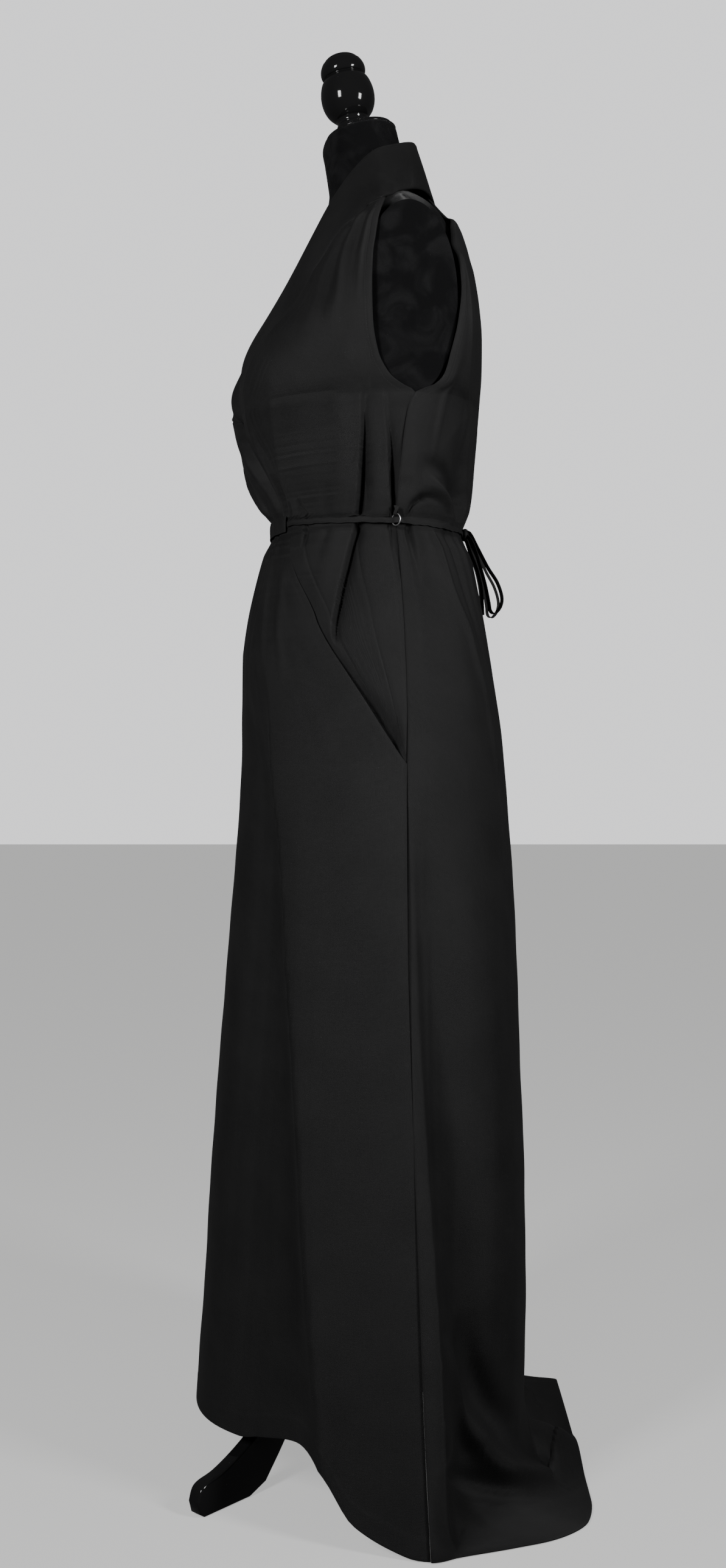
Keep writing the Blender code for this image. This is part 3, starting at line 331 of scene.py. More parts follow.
class Knot(NamedTuple):
    """A place that a fold runs through. strength is its share of the fold's depth."""

    z: float
    turn: float
    strength: float = 1.0


class Fold(NamedTuple):
    """A fold of the cloth. depth is inwards, and width is half of its width."""

    half: Half
    depth: float
    width: float
    knots: tuple[Knot, ...]
    bend: Bend = Bend.SOFT
    side: Side = Side.BOTH

    def shape(self, away: Array) -> Array:
        """Share of the depth at a distance from the middle, in widths.

        Args:
            away: The distance, in the fold's own widths.

        Returns:
            The shares.
        """
        if self.bend is Bend.SOFT:
            return bump(away)
        if self.bend is Bend.SHARP:
            return 1 / (1 + np.abs(away) ** 2.6) ** 1.3
        far = np.maximum(away, 0.0)
        if self.bend is Bend.LAP:
            return ease(far / 0.55) * np.exp(-np.maximum(far - 0.55, 0.0) / 1.1)
        return far * np.exp(1 - far)

    def depth_at(self, z: Array, turn: Array, spacing: Array) -> Array:
        """How far the fold draws the cloth in.

        Args:
            z: Height of each place.
            turn: Its turn, counted from the fold's own side.
            spacing: Metres to a degree of turn there.

        Returns:
            The depths.
        """
        if self.bend in (Bend.LEDGE, Bend.LAP):
            knots = tuple(sorted(self.knots))
            away = (turn - curve(knots, "turn").at(z)) * spacing / self.width
            inside = (z >= knots[0].z) & (z <= knots[-1].z)
            return self.depth * inside * curve(knots, "strength").at(z) * self.shape(away)
        track = path(self.knots, np.linspace(0.0, 1.0, 3 * len(self.knots)))
        depth = np.zeros(z.shape)
        reach = 3.0 * self.width
        near = (z > track[:, 0].min() - reach) & (z < track[:, 0].max() + reach)
        near &= (turn > track[:, 1].min() - reach / spacing)
        near &= (turn < track[:, 1].max() + reach / spacing)
        scale = spacing[near][:, None]
        up, along = z[near][:, None] - track[:-1, 0], (turn[near][:, None] - track[:-1, 1]) * scale
        step_up, step_along = np.diff(track[:, 0]), np.diff(track[:, 1]) * scale
        length = np.maximum(step_up ** 2 + step_along ** 2, 1e-12)
        share = np.clip((up * step_up + along * step_along) / length, 0.0, 1.0)
        gap = np.hypot(up - share * step_up, along - share * step_along)
        nearest = gap.argmin(1)[:, None]
        strength = track[:-1, 2] + share * np.diff(track[:, 2])
        picked = np.take_along_axis(strength, nearest, 1)[:, 0]
        apart = np.take_along_axis(gap, nearest, 1)[:, 0]
        depth[near] = self.depth * np.clip(picked, 0.0, 1.2) * self.shape(apart / self.width)
        return depth


FRONT, BACK = Half.FRONT, Half.BACK
SHARP, LEDGE, LAP = Bend.SHARP, Bend.LEDGE, Bend.LAP
LEFT, RIGHT = Side.LEFT, Side.RIGHT


def fold(half: Half, depth: float, width: float, *knots: tuple[float, ...],
         bend: Bend = Bend.SOFT, side: Side = Side.BOTH) -> Fold:
    """A fold through knots of height, turn and strength, from its top down."""
    return Fold(half, depth, width, tuple(Knot(*knot) for knot in knots), bend, side)


FOLDS = (
    # the wide folds of the skirt, and the hollow in the small of the back
    fold(FRONT, 0.016, 0.064, (0.95, 72, 0), (0.6, 58, 0.7), (-0.05, 50)),
    fold(FRONT, 0.009, 0.056, (0.8, 18, 0), (0.45, 14, 0.7), (-0.05, 12)),
    fold(BACK, 0.01, 0.03, (1.24, 40, 0), (1.18, 56), (1.145, 62, 0)),
    fold(BACK, 0.046, 0.068, (0.86, 12, 0), (0.7, 13, 0.22), (0.55, 20, 0.42), (0.3, 30, 0.75),
         (0.1, 36), (-0.05, 38, 0.9)),
    # the deep tuck from the bust to the pocket, and the bust's swell beside it
    fold(FRONT, 0.015, -0.008, (0.985, 23.5, 0), (1.003, 23.8, 0.75), (1.044, 22.2, 0.95), (1.084, 20),
         (1.107, 19), (1.13, 18.1), (1.144, 17.8), (1.168, 17), (1.191, 15.8, 0.92),
         (1.215, 14.8, 0.78), (1.238, 14, 0.62), (1.256, 13.8, 0.44), (1.267, 14.2, 0.36),
         (1.273, 14.5, 0.32), (1.279, 14, 0.28), (1.284, 11.8, 0.24), (1.29, 9.5, 0.21),
         (1.295, 8, 0.18), (1.301, 6.8, 0.15), (1.307, 6, 0.13), (1.313, 5.5, 0.11), (1.319, 5, 0.09),
         (1.336, 4.8, 0), bend=LAP),
    fold(FRONT, -0.0026, 0.011, (1.345, 12, 0), (1.31, 13.2, 0.5), (1.297, 15, 0.7), (1.285, 19, 0.9),
         (1.276, 21.5), (1.25, 21.5), (1.19, 23), (1.145, 25, 0.5), (1.1, 27, 0.8), (1.04, 29.5, 0.4),
         (1, 31, 0)),
    # the softer one beside the seam
    fold(FRONT, 0.012, -0.006, (1.06, 1.5, 0), (1.083, 2, 0.2), (1.102, 2.8, 0.4), (1.125, 3.2, 0.5),
         (1.135, 2.6, 0.6), (1.149, 2.5, 0.9), (1.167, 3.2), (1.185, 3.8), (1.202, 4.2, 0.85),
         (1.226, 4.8, 0.58), (1.243, 5.5, 0.4), (1.261, 6.5, 0.24), (1.272, 7.8, 0.16),
         (1.278, 8, 0.12), (1.284, 5.8, 0.08), (1.289, 4.5, 0.05), (1.295, 3.2, 0.02), (1.307, 2, 0),
         bend=LAP),
    fold(FRONT, -0.0022, 0.008, (1.27, 12, 0), (1.24, 10.5, 0.7), (1.19, 9.5), (1.15, 8.5, 0.5)),
    fold(BACK, 0.0062, 0.0065, (1.136, 9, 0.4), (1.124, 9), (1.109, 8.5), (1.093, 9.2, 0.7),
         (1.077, 10.2, 0.4), (1.04, 11, 0)),
    # below the tie at the back, and on down the skirt
    fold(BACK, -0.0046, 0.007, (1.127, 28.5, 0.3), (1.105, 31, 0.9), (1.08, 32.5), (1.054, 35.5, 0.9),
         (1.03, 40, 0.9), (1.007, 45, 0.8), (0.98, 48, 0.8), (0.94, 53, 0.6), (0.881, 56, 0.6),
         (0.8, 61, 0.5), (0.733, 66, 0.3), (0.65, 70, 0)),
    fold(BACK, 0.0046, 0.0085, (1.13, 44, 0.6), (1.105, 47), (1.06, 51, 0.9), (1.01, 57, 0.6),
         (0.95, 61, 0.3), (0.88, 64, 0)),
    fold(BACK, -0.004, 0.0075, (1.128, 59, 0.6), (1.085, 62), (1, 67, 0.5), (0.9, 70, 0)),
    fold(BACK, 0.0046, 0.007, (1.128, 74, 0.8), (1.08, 75), (0.985, 78, 0.4), (0.86, 79, 0)),
    fold(BACK, -0.0035, 0.0065, (1.128, 84, 0.7), (1.06, 85.5), (0.95, 86, 0)),
    # the blousing above the tie at the back
    fold(BACK, 0.0072, 0.0042, (1.141, 9, 0.4), (1.146, 10, 0.9), (1.152, 12.5), (1.158, 17.5),
         (1.1595, 24.5, 0.8), (1.156, 31, 0.4), (1.152, 36, 0), bend=SHARP),
    fold(BACK, 0.0064, 0.01, (1.198, 10, 0), (1.196, 18, 0.5), (1.1935, 26, 0.9), (1.187, 38),
         (1.17, 50), (1.15, 60, 0.8), (1.141, 64, 0.5)),
    fold(BACK, -0.006, 0.0075, (1.184, 16, 0), (1.18, 21, 0.4), (1.17, 32), (1.156, 44),
         (1.142, 54, 0.8)),
    fold(BACK, -0.0048, 0.0085, (1.275, 52, 0), (1.225, 60, 0.5), (1.175, 68), (1.143, 71, 0.9)),
    fold(BACK, 0.0048, 0.0075, (1.3, 70, 0), (1.24, 74, 0.4), (1.18, 77), (1.143, 78, 0.9)),
    fold(BACK, -0.0036, 0.007, (1.265, 86, 0), (1.19, 86), (1.143, 85.5, 0.8)),
    # long soft ridges down from the racer back and behind the armhole
    fold(BACK, -0.0028, 0.0065, (1.44, 13, 0), (1.424, 14.5, 0.5), (1.362, 21.8), (1.316, 32.8),
         (1.267, 47, 0.8), (1.215, 52, 0)),
    fold(BACK, -0.0022, 0.0065, (1.29, 21, 0), (1.272, 22, 0.8), (1.243, 23.2), (1.2, 23, 0)),
    fold(BACK, 0.0028, 0.015, (1.43, 46, 0), (1.35, 48), (1.26, 60, 0)),
    # the flat strip behind the side seam ends in a crease, and so does the front's long ridge
    fold(BACK, 0.02, 0.026, (0.79, 2.8, 0), (0.724, 2.8, 0.16), (0.631, 3.4, 0.32), (0.54, 4.1, 0.45),
         (0.477, 5.2, 0.55), (0.397, 6.1, 0.66), (0.33, 7.2, 0.75), (0.219, 9, 0.9), (0.157, 10),
         (0.09, 10.6, 0.85), (0, 10.8, 0.25), bend=LEDGE),
    fold(FRONT, 0.023, 0.048, (0.985, 55.8, 0), (0.907, 49.8, 0.45), (0.867, 48.6, 0.7),
         (0.821, 46.8, 0.85), (0.753, 43), (0.657, 39.5), (0.612, 38), (0.525, 34.8), (0.439, 32.5),
         (0.354, 31), (0.229, 28.8, 0.9), (0.123, 26, 0.8), (0, 24, 0.6), bend=LEDGE),
    # creases up from the tab, beside the wrap's edge
    fold(FRONT, -0.0022, 0.007, (1.3, 72, 0), (1.28, 73.5, 0.6), (1.255, 74.5), (1.232, 74),
         (1.211, 70.5), (1.182, 66), (1.16, 61.5, 0.6), side=LEFT),
    fold(FRONT, 0.0062, 0.0046, (1.262, 71, 0), (1.236, 69.5, 0.5), (1.205, 65.5), (1.182, 62.8),
         (1.163, 60.5), (1.149, 59, 0.5), side=LEFT),
    fold(FRONT, -0.002, 0.0085, (1.31, 49, 0), (1.279, 50.2, 0.6), (1.252, 52), (1.223, 55.2),
         (1.194, 57.6), (1.173, 58.4, 0.9), (1.156, 57.6, 0.3)),
    fold(FRONT, 0.0026, 0.0022, (1.17, 57.5, 0), (1.162, 56.2), (1.146, 54.6), (1.14, 54.2, 0.4)),
    fold(FRONT, 0.005, 0.0026, (1.168, 49.4, 0), (1.156, 47.6), (1.143, 44.4), (1.127, 43.6),
         (1.114, 42, 0.6), (1.102, 41.4, 0)),
    fold(FRONT, 0.002, 0.006, (1.185, 32.5, 0), (1.16, 32, 0.8), (1.143, 31.5, 0.9), (1.126, 31, 0.8),
         (1.085, 31.5, 0)),
    fold(FRONT, -0.0042, 0.005, (1.245, 76, 0), (1.228, 79, 0.7), (1.207, 82), (1.185, 86), (1.165, 92),
         (1.15, 97, 0.5), side=RIGHT),
    fold(FRONT, 0.0045, 0.0038, (1.222, 87, 0), (1.202, 89, 0.8), (1.18, 94), (1.16, 99, 0.8),
         (1.148, 102, 0.3), side=RIGHT),
    # the front of the skirt below the tab
    fold(FRONT, 0.0042, 0.0034, (1.131, 68.8, 0.9), (1.119, 67.6), (1.104, 66.6, 0.6), (1.085, 67, 0),
         side=LEFT),
    fold(FRONT, -0.0034, 0.005, (1.128, 63.6, 0.7), (1.112, 61.8), (1.085, 60.6, 0.9),
         (1.045, 59.4, 0.8), (1, 57.4, 0.5), (0.95, 56, 0)),
    fold(FRONT, 0.0036, 0.006, (1.112, 71, 0.3), (1.09, 70), (1.05, 69, 0.8), (1, 70, 0.4),
         (0.93, 72, 0)),
    fold(FRONT, -0.0026, 0.007, (1.085, 50.5, 0), (1.062, 49.4, 0.9), (1.007, 47), (0.966, 44.5, 0.5),
         (0.93, 43, 0)),
    fold(FRONT, 0.0036, 0.0085, (1.128, 79, 0.8), (1.08, 79), (0.98, 80, 0.4), (0.88, 82, 0)),
    # gathers fanning down from the shoulder seam, and the trough along the collar's seam
    fold(FRONT, 0.0056, 0.0032, (1.494, 19, 0.3), (1.49, 22.5), (1.485, 25.6), (1.478, 26.4),
         (1.469, 26, 0.8), (1.452, 27, 0), bend=SHARP),
    fold(FRONT, -0.0036, 0.006, (1.489, 15, 0.4), (1.48, 21), (1.464, 23.5), (1.449, 25.5),
         (1.423, 24.8, 0.9), (1.398, 22.5, 0.6), (1.34, 18.8, 0)),
    fold(FRONT, -0.0026, 0.0065, (1.466, 32.5, 0), (1.44, 36.2), (1.421, 36), (1.398, 34.2, 0.7),
         (1.35, 32, 0)),
    fold(FRONT, 0.0022, 0.0055, (1.458, 29.5, 0), (1.43, 30), (1.395, 28, 0.8), (1.35, 25, 0)),
    fold(FRONT, -0.0022, 0.005, (1.49, 9, 0.2), (1.47, 12), (1.43, 12.5, 0.8), (1.37, 10, 0)),
    fold(FRONT, 0.0022, 0.004, (1.494, 13, 0.8), (1.483, 15.5), (1.45, 17.5, 0.7), (1.4, 16, 0)),
    fold(FRONT, 0.0044, 0.006, (1.492, 13, 0.3), (1.489, 22, 0.8), (1.483, 29), (1.474, 34.5),
         (1.463, 40), (1.447, 44.8), (1.432, 48.4, 0.9), (1.41, 49, 0.6), (1.385, 50, 0.3),
         (1.35, 57, 0)),
)

TRAIN_FOLDS = (
    # the roll where the train breaks on the floor, and the troughs outside and inside it
    fold(BACK, -0.015, 0.015, (0.225, 17, 0), (0.184, 25, 0.5), (0.134, 35, 0.9), (0.096, 43.5),
         (0.079, 47.5), (0.067, 51.5), (0.054, 57.5, 0.9), (0.039, 65, 0.7), (0.026, 71, 0.4),
         (0.022, 78, 0)),
    fold(BACK, 0.011, 0.013, (0.115, 13, 0.2), (0.088, 22, 0.9), (0.066, 36), (0.054, 45),
         (0.047, 51, 0.8), (0.036, 58, 0.5), (0.024, 64, 0)),
    fold(BACK, 0.012, 0.017, (0.235, 33, 0), (0.167, 41, 0.8), (0.13, 46), (0.11, 50, 0.9),
         (0.095, 55, 0.5), (0.085, 60, 0)),
)


class Edge(NamedTuple):
    """Where an edge lies at a height."""

    z: float
    turn: float


WRAP_EDGE = listed(
    Edge,
    (0, 97), (1.127, 95), (1.147, 63), (1.176, 67), (1.217, 77), (1.255, 88),
    (1.272, 90),
)
COLLAR_SEAM = listed(
    Edge,
    (1.272, 90), (1.3, 75), (1.335, 62), (1.362, 54.5), (1.394, 48.8), (1.432, 48),
    (1.444, 45.5), (1.4645, 40), (1.479, 33), (1.485, 27), (1.493, 20), (1.497, 10),
    (1.499, 3),
)
POCKET_SLANT = listed(
    Edge,
    (0.8485, 0), (0.877, 4.5), (0.914, 10.5), (0.953, 17.5), (0.991, 25.2), (1.012, 29),
    (1.026, 31), (1.095, 47.5), (1.137, 56),
)


class Fullness(NamedTuple):
    """How much fuller the far front hangs than the near one."""

    z: float
    out: float


FULLNESS = listed(
    Fullness,
    (1.148, 0), (1.165, 0.013), (1.182, 0.018), (1.2, 0.0195), (1.22, 0.0195), (1.24, 0.0165),
    (1.262, 0.0165), (1.28, 0.0165), (1.3, 0.0145), (1.326, 0.01), (1.346, 0.005), (1.368, 0),
)


class HemHeight(NamedTuple):
    """Height of the front hem, or of the tie, at a turn."""

    turn: float
    z: float


FRONT_HEM = listed(
    HemHeight,
    (0, 0.001), (3, 0.0016), (8, 0.0078), (17.5, 0.03), (25, 0.079), (34, 0.0985),
    (48.5, 0.0855), (56, 0.077), (66, 0.0765), (90, 0.0745),
)
TIE_HEIGHTS = listed(
    HemHeight,
    (-90, 1.1372), (-58, 1.1378), (-33, 1.1356), (0, 1.1325), (23, 1.131), (45, 1.1308),
    (73, 1.1331), (90, 1.1345),
)


class HemPlace(NamedTuple):
    """Where the train's hem lies on the floor, at a turn."""

    turn: float
    x: float
    y: float


TRAIN_HEM = listed(
    HemPlace,
    (0, 0.2995, 0.072), (10, 0.287, 0.105), (25, 0.266, 0.165), (40, 0.2455, 0.2125),
    (52, 0.205, 0.252), (62, 0.1536, 0.2626), (90, 0.003, 0.2651), (118, -0.14, 0.2672),
    (132, -0.223, 0.268), (140, -0.2345, 0.235), (155, -0.264, 0.165),
    (170, -0.287, 0.105), (180, -0.2995, 0.072),
)


class SewnCollar(NamedTuple):
    """A line across the collar, from its seam at seam_z to its free edge at x, y, z."""

    seam_z: float
    x: float
    y: float
    z: float
    bow: float


SEWN_COLLAR = listed(
    SewnCollar,
    (1.274, 0.004, -0.149, 1.274, 0),
    (1.3, -0.006, -0.1575, 1.296, 0.001),
    (1.335, -0.006, -0.156, 1.338, 0.002),
    (1.362, -0.001, -0.142, 1.37, 0.003),
    (1.394, 0.008, -0.1225, 1.398, 0.004),
    (1.432, 0.021, -0.0955, 1.4385, 0.004),
    (1.4645, 0.036, -0.064, 1.4935, 0.003),
    (1.485, 0.047, -0.04, 1.5365, 0.001),
    (1.493, 0.061, -0.0245, 1.5605, -0.002),
    (1.4975, 0.0685, 0.001, 1.583, -0.003),
)


class FreeCollar(NamedTuple):
    """A line across the collar behind the shoulder, where both of its edges are free."""

    low_x: float
    low_y: float
    low_z: float
    x: float
    y: float
    z: float
    bow: float


FREE_COLLAR = listed(
    FreeCollar,
    (0.141, 0.0335, 1.5088, 0.068, 0.018, 1.592, -0.004),
    (0.119, 0.0425, 1.5215, 0.0615, 0.034, 1.598, -0.004),
    (0.092, 0.058, 1.534, 0.052, 0.047, 1.604, -0.003),
    (0.064, 0.073, 1.5425, 0.037, 0.057, 1.611, 0),
    (0.034, 0.0852, 1.543, 0.019, 0.0635, 1.617, 0.001),
    (0, 0.0906, 1.543, 0, 0.0655, 1.622, 0.001),
)


class FormLevel(NamedTuple):
    """One level of the form. lean tips it forwards, as a slope."""

    z: float
    width: float
    front_side: float
    front: float
    front_power: float
    back_side: float
    back: float
    back_power: float
    lean: float


FORM_LEVELS = listed(
    FormLevel,
    (0.8, 0.145, 0.02, 0.09, 2.2, 0.02, 0.11, 2.2, 0),
    (0.806, 0.155, 0.02, 0.099, 2.2, 0.02, 0.119, 2.2, 0),
    (0.86, 0.166, 0.025, 0.108, 2.2, 0.025, 0.13, 2.2, 0),
    (0.92, 0.166, 0.03, 0.11, 2.2, 0.03, 0.133, 2.2, 0),
    (1, 0.15, 0.035, 0.104, 2.2, 0.035, 0.126, 2.2, 0),
    (1.07, 0.128, 0.038, 0.095, 2.2, 0.038, 0.11, 2.2, 0),
    (1.137, 0.114, 0.0385, 0.087, 2.1, 0.0385, 0.099, 2.1, 0),
    (1.19, 0.122, 0.045, 0.097, 2.2, 0.045, 0.108, 2.2, 0),
    (1.245, 0.14, 0.05, 0.119, 2.2, 0.055, 0.119, 2.2, 0),
    (1.27, 0.1482, 0.036, 0.129, 2.2, 0.068, 0.123, 2.2, 0),
    (1.3, 0.1496, 0.02, 0.137, 2.1, 0.084, 0.127, 2.2, 0),
    (1.345, 0.1517, 0.004, 0.132, 1.8, 0.098, 0.13, 1.5, 0),
    (1.4, 0.1543, 0, 0.104, 1.6, 0.1, 0.1285, 1.35, 0),
    (1.45, 0.1566, 0.009, 0.079, 1.5, 0.088, 0.1215, 1.25, 0),
    (1.475, 0.1572, 0.021, 0.068, 1.5, 0.079, 0.115, 1.5, 0),
    (1.49, 0.1545, 0.036, 0.061, 1.6, 0.066, 0.1095, 1.8, 0),
    (1.503, 0.145, 0.044, 0.0555, 1.7, 0.052, 0.103, 2, 0),
    (1.5185, 0.12, 0.043, 0.05, 1.8, 0.045, 0.092, 2, 0),
    (1.5325, 0.09, 0.038, 0.046, 1.9, 0.038, 0.081, 2, 0),
    (1.543, 0.071, 0.033, 0.0435, 1.9, 0.033, 0.0715, 2, 0),
    (1.556, 0.06, 0.025, 0.042, 2, 0.025, 0.0635, 2, 0.02),
    (1.575, 0.053, 0.015, 0.044, 2, 0.015, 0.056, 2, 0.08),
    (1.6, 0.05, 0.004, 0.0475, 2, 0.004, 0.0495, 2, 0.12),
    (1.62, 0.0488, 0.001, 0.0502, 2, 0.001, 0.044, 2, 0.18),
    (1.63, 0.0466, -0.001, 0.0478, 2, -0.001, 0.0415, 2, 0.19),
    (1.636, 0.042, -0.001, 0.042, 2, -0.001, 0.0388, 2, 0.19),
    (1.6388, 0.035, 0, 0.035, 2, 0, 0.0355, 2, 0.19),
    (1.641, 0.0345, 0, 0.0345, 2, 0, 0.035, 2, 0.19),
    (1.642, 0.032, 0, 0.033, 2, 0, 0.032, 2, 0.19),
    (1.644, 0.0215, -0.0116, 0.0322, 2, -0.0116, 0.0105, 2, 0.19),
)


class Turned(NamedTuple):
    """A point of a turned profile. sharp starts a new curve there."""

    radius: float
    height: float
    sharp: bool = False


FINIAL = listed(
    Turned,
    (0.0205, 0), (0.0203, 0.003), (0.0188, 0.007), (0.02, 0.0108, True), (0.0232, 0.0132),
    (0.0285, 0.0195), (0.0322, 0.0285), (0.0334, 0.0384), (0.0324, 0.048), (0.0294, 0.0572),
    (0.0246, 0.064, True), (0.0268, 0.0655), (0.028, 0.07), (0.0272, 0.076), (0.024, 0.0822),
    (0.0214, 0.0836, True), (0.0205, 0.0858), (0.016, 0.089), (0.0085, 0.0912),
)
HUB = listed(
    Turned,
    (0.016, 0), (0.026, 0.004), (0.03, 0.012), (0.03, 0.09), (0.027, 0.098), (0.022, 0.104),
    (0.019, 0.12),
)
POLE = listed(
    Turned,
    (POLE_RADIUS, 0), (POLE_RADIUS, 0.55), (0.022, 0.562), (0.045, 0.569), (0.046, 0.5744),
)


class LegPoint(NamedTuple):
    """A point of a leg's outline, out from the pole line."""

    reach: float
    z: float


LEG_TOP = listed(
    LegPoint,
    (0.0305, 0.19), (0.06, 0.176), (0.1, 0.136), (0.13, 0.102), (0.16, 0.0745), (0.19, 0.056),
    (0.222, 0.042), (0.245, 0.037), (0.2545, 0.031), (LEG_REACH, 0.018),
)
LEG_UNDER = listed(
    LegPoint,
    (0.2555, 0.005), (0.2485, 0), (0.178, 0), (0.152, 0.01), (0.13, 0.036),
    (0.1, 0.074), (0.06, 0.112), (0.0305, 0.124),
)


class Strand(NamedTuple):
    """A place on the line of a bow loop or of a loose end."""

    x: float
    y: float
    z: float


LOOP_PATH = listed(
    Strand,
    (0.0022, 0.1262, 1.1392), (0.0046, 0.1328, 1.1368), (0.01, 0.142, 1.118),
    (0.017, 0.154, 1.093), (0.023, 0.165, 1.074), (0.026, 0.1705, 1.056),
    (0.0262, 0.169, 1.044), (0.025, 0.163, 1.0365), (0.023, 0.157, 1.0385),
    (0.0195, 0.155, 1.05), (0.015, 0.151, 1.072), (0.0135, 0.144, 1.098),
    (0.0118, 0.1375, 1.119), (0.0098, 0.1325, 1.1295), (0.005, 0.1272, 1.134),
)
END_PATH = listed(
    Strand,
    (0.0022, 0.1262, 1.133), (0.0034, 0.129, 1.1274), (0.0045, 0.1342, 1.112),
    (0.0075, 0.142, 1.09), (0.0095, 0.1466, 1.068), (0.0105, 0.1478, 1.05),
    (0.011, 0.1484, 1.035),
)


# ---- the skin


class Skin:
    """The imagined skin that every panel of the dress is cut from.

    Near the underarm, and calm_turn degrees from the side seam, the armhole's abrupt change of
    form is levelled out. A fold shallower than loose_depth lies a little higher or lower on the
    right side than on the left.
    """

    tie_reach: float = 0.05
    calm_reach: float = 0.05
    calm_turn: float = 14.0
    calm_blend: float = 16.0
    calm_step: float = 0.005
    calm_steps: int = 10
    loose_depth: float = 0.006
    loose_lift: float = 0.009
    held_share: float = 0.45
    train_corner: float = 0.004

    @staticmethod
    def waist_height(half: Half, turn: Array) -> Array:
        """Height of the tie's middle at a turn on either half."""
        near = np.minimum(turn, 180 - turn)
        return curve(TIE_HEIGHTS, "z").at(-near if half is FRONT else near)

    @classmethod
    def plain(cls, half: Half, z: Array, turn: Array) -> Array:
        """The cloth's outer face without folds, hem or train.

        Args:
            half: The half of the skin.
            z: Heights.
            turn: Turns, in degrees.

        Returns:
            The places.
        """
        offset = cls.waist_height(half, turn) - WAIST_Z
        level = z - offset * bump((z - WAIST_Z) / cls.tie_reach)
        width, side, depth, square = (
            curve(LEVELS, half.value + column).at(level)
            for column in ("_width", "_side", "", "_power")
        )
        beside = ease((np.minimum(turn, 180 - turn) - cls.calm_turn) / cls.calm_blend)
        calm = beside * bump((level - UNDERARM_Z) / cls.calm_reach)
        width, side, square = (
            value + calm * (cls.calmed(half.value + column, level) - value)
            for column, value in (("_width", width), ("_side", side), ("_power", square))
        )
        angle = np.radians(turn)
        sign = -1 if half is FRONT else 1
        across, along = squared(angle, 2 / square)
        y = side + (sign * depth - side) * np.abs(along)
        return np.stack((width * across, y, z + 0 * turn), -1)

    @classmethod
    def calmed(cls, column: str, level: Array) -> Array:
        """A column of LEVELS, levelled out round each height."""
        steps = range(-cls.calm_steps, cls.calm_steps + 1)
        line = curve(LEVELS, column)
        return sum(line.at(level + cls.calm_step * step) for step in steps) / len(steps)

    @classmethod
    def outward(cls, half: Half, z: Array, turn: Array) -> Array:
        """Level direction straight out of the cloth."""
        low = cls.plain(half, z, np.clip(turn - 0.5, 0.05, 179.0))
        high = cls.plain(half, z, np.clip(turn + 0.5, 1.0, 179.95))
        along = unit(high - low)
        out = np.stack((along[..., 1], -along[..., 0], 0 * along[..., 2]), -1)
        return out if half is BACK else -out

    @classmethod
    def fold_depth(cls, half: Half, z: Array, turn: Array) -> Array:
        """How far the folds draw the cloth in. On the right side the shallow folds lie a little higher
        or lower.

        Args:
            half: The half of the skin.
            z: Heights.
            turn: Turns, in degrees.

        Returns:
            The depths.
        """
        z, turn = (np.array(each) for each in np.broadcast_arrays(np.atleast_1d(z), turn))
        width, side, front = (
            curve(LEVELS, half.value + column).at(z) for column in ("_width", "_side", ""))
        spacing = np.radians(width + side + front) / 2
        turns = {Side.BOTH: np.minimum(turn, 180 - turn), LEFT: turn, RIGHT: 180 - turn}
        depth = 0.0003 * np.sin(z * 61 + turn * 0.13) * np.sin(z * 23 - turn * 0.21 + 1.0)
        for number, crease in enumerate(FOLDS):
            if crease.half is half:
                lift = cls.loose_lift * math.sin(2.4 * number) if crease.side is Side.BOTH else 0.0
                loose = (abs(crease.depth) < cls.loose_depth) * (turn > 90)
                lift = lift * loose * ease((z - HEM_BLEND) / HEM_BLEND)
                depth = depth + crease.depth_at(z + lift, turns[crease.side], spacing)
        under_tab = (half is FRONT) & (turns[Side.BOTH] > POCKET_TOP_TURN)
        reach = np.where(under_tab, 0.5 * TAB_HEIGHT, 0.5 * TIE_WIDTH)
        free = ease((np.abs(z - cls.waist_height(half, turn)) - reach) / 0.007)
        held = cls.held_share
        return np.where(depth < 0, depth * free, depth * (held + (1 - held) * free))

    @classmethod
    def folded(cls, half: Half, z: Array, turn: Array, out: Array | float = 0.0) -> Array:
        """The cloth's outer face at one height, with folds, moved out."""
        move = out - cls.fold_depth(half, z, turn).reshape(np.broadcast(z, turn).shape)
        return cls.plain(half, z, turn) + cls.outward(half, z, turn) * np.asarray(move)[..., None]

    @staticmethod
    def leg_mound(place: Array) -> Array:
        """Height that the cloth needs where it rides over the back leg.

        Args:
            place: Places of the cloth, without it.

        Returns:
            The heights.
        """
        turn = math.radians(LEG_TURNS["leg_back"])
        x, y = place[..., 0], place[..., 1] - POLE_Y
        along = x * math.cos(turn) + y * math.sin(turn)
        across = np.abs(-x * math.sin(turn) + y * math.cos(turn))
        top = np.where(along < LEG_REACH - 0.004, curve(LEG_TOP, "z").at(along), 0.034)
        past = ease((along - LEG_REACH + 0.004) / 0.045)
        beside = ease((across - 0.5 * LEG_THICK + 0.004) / 0.105)
        return (top + LEG_CLEARANCE) * (1 - past) * (1 - beside)

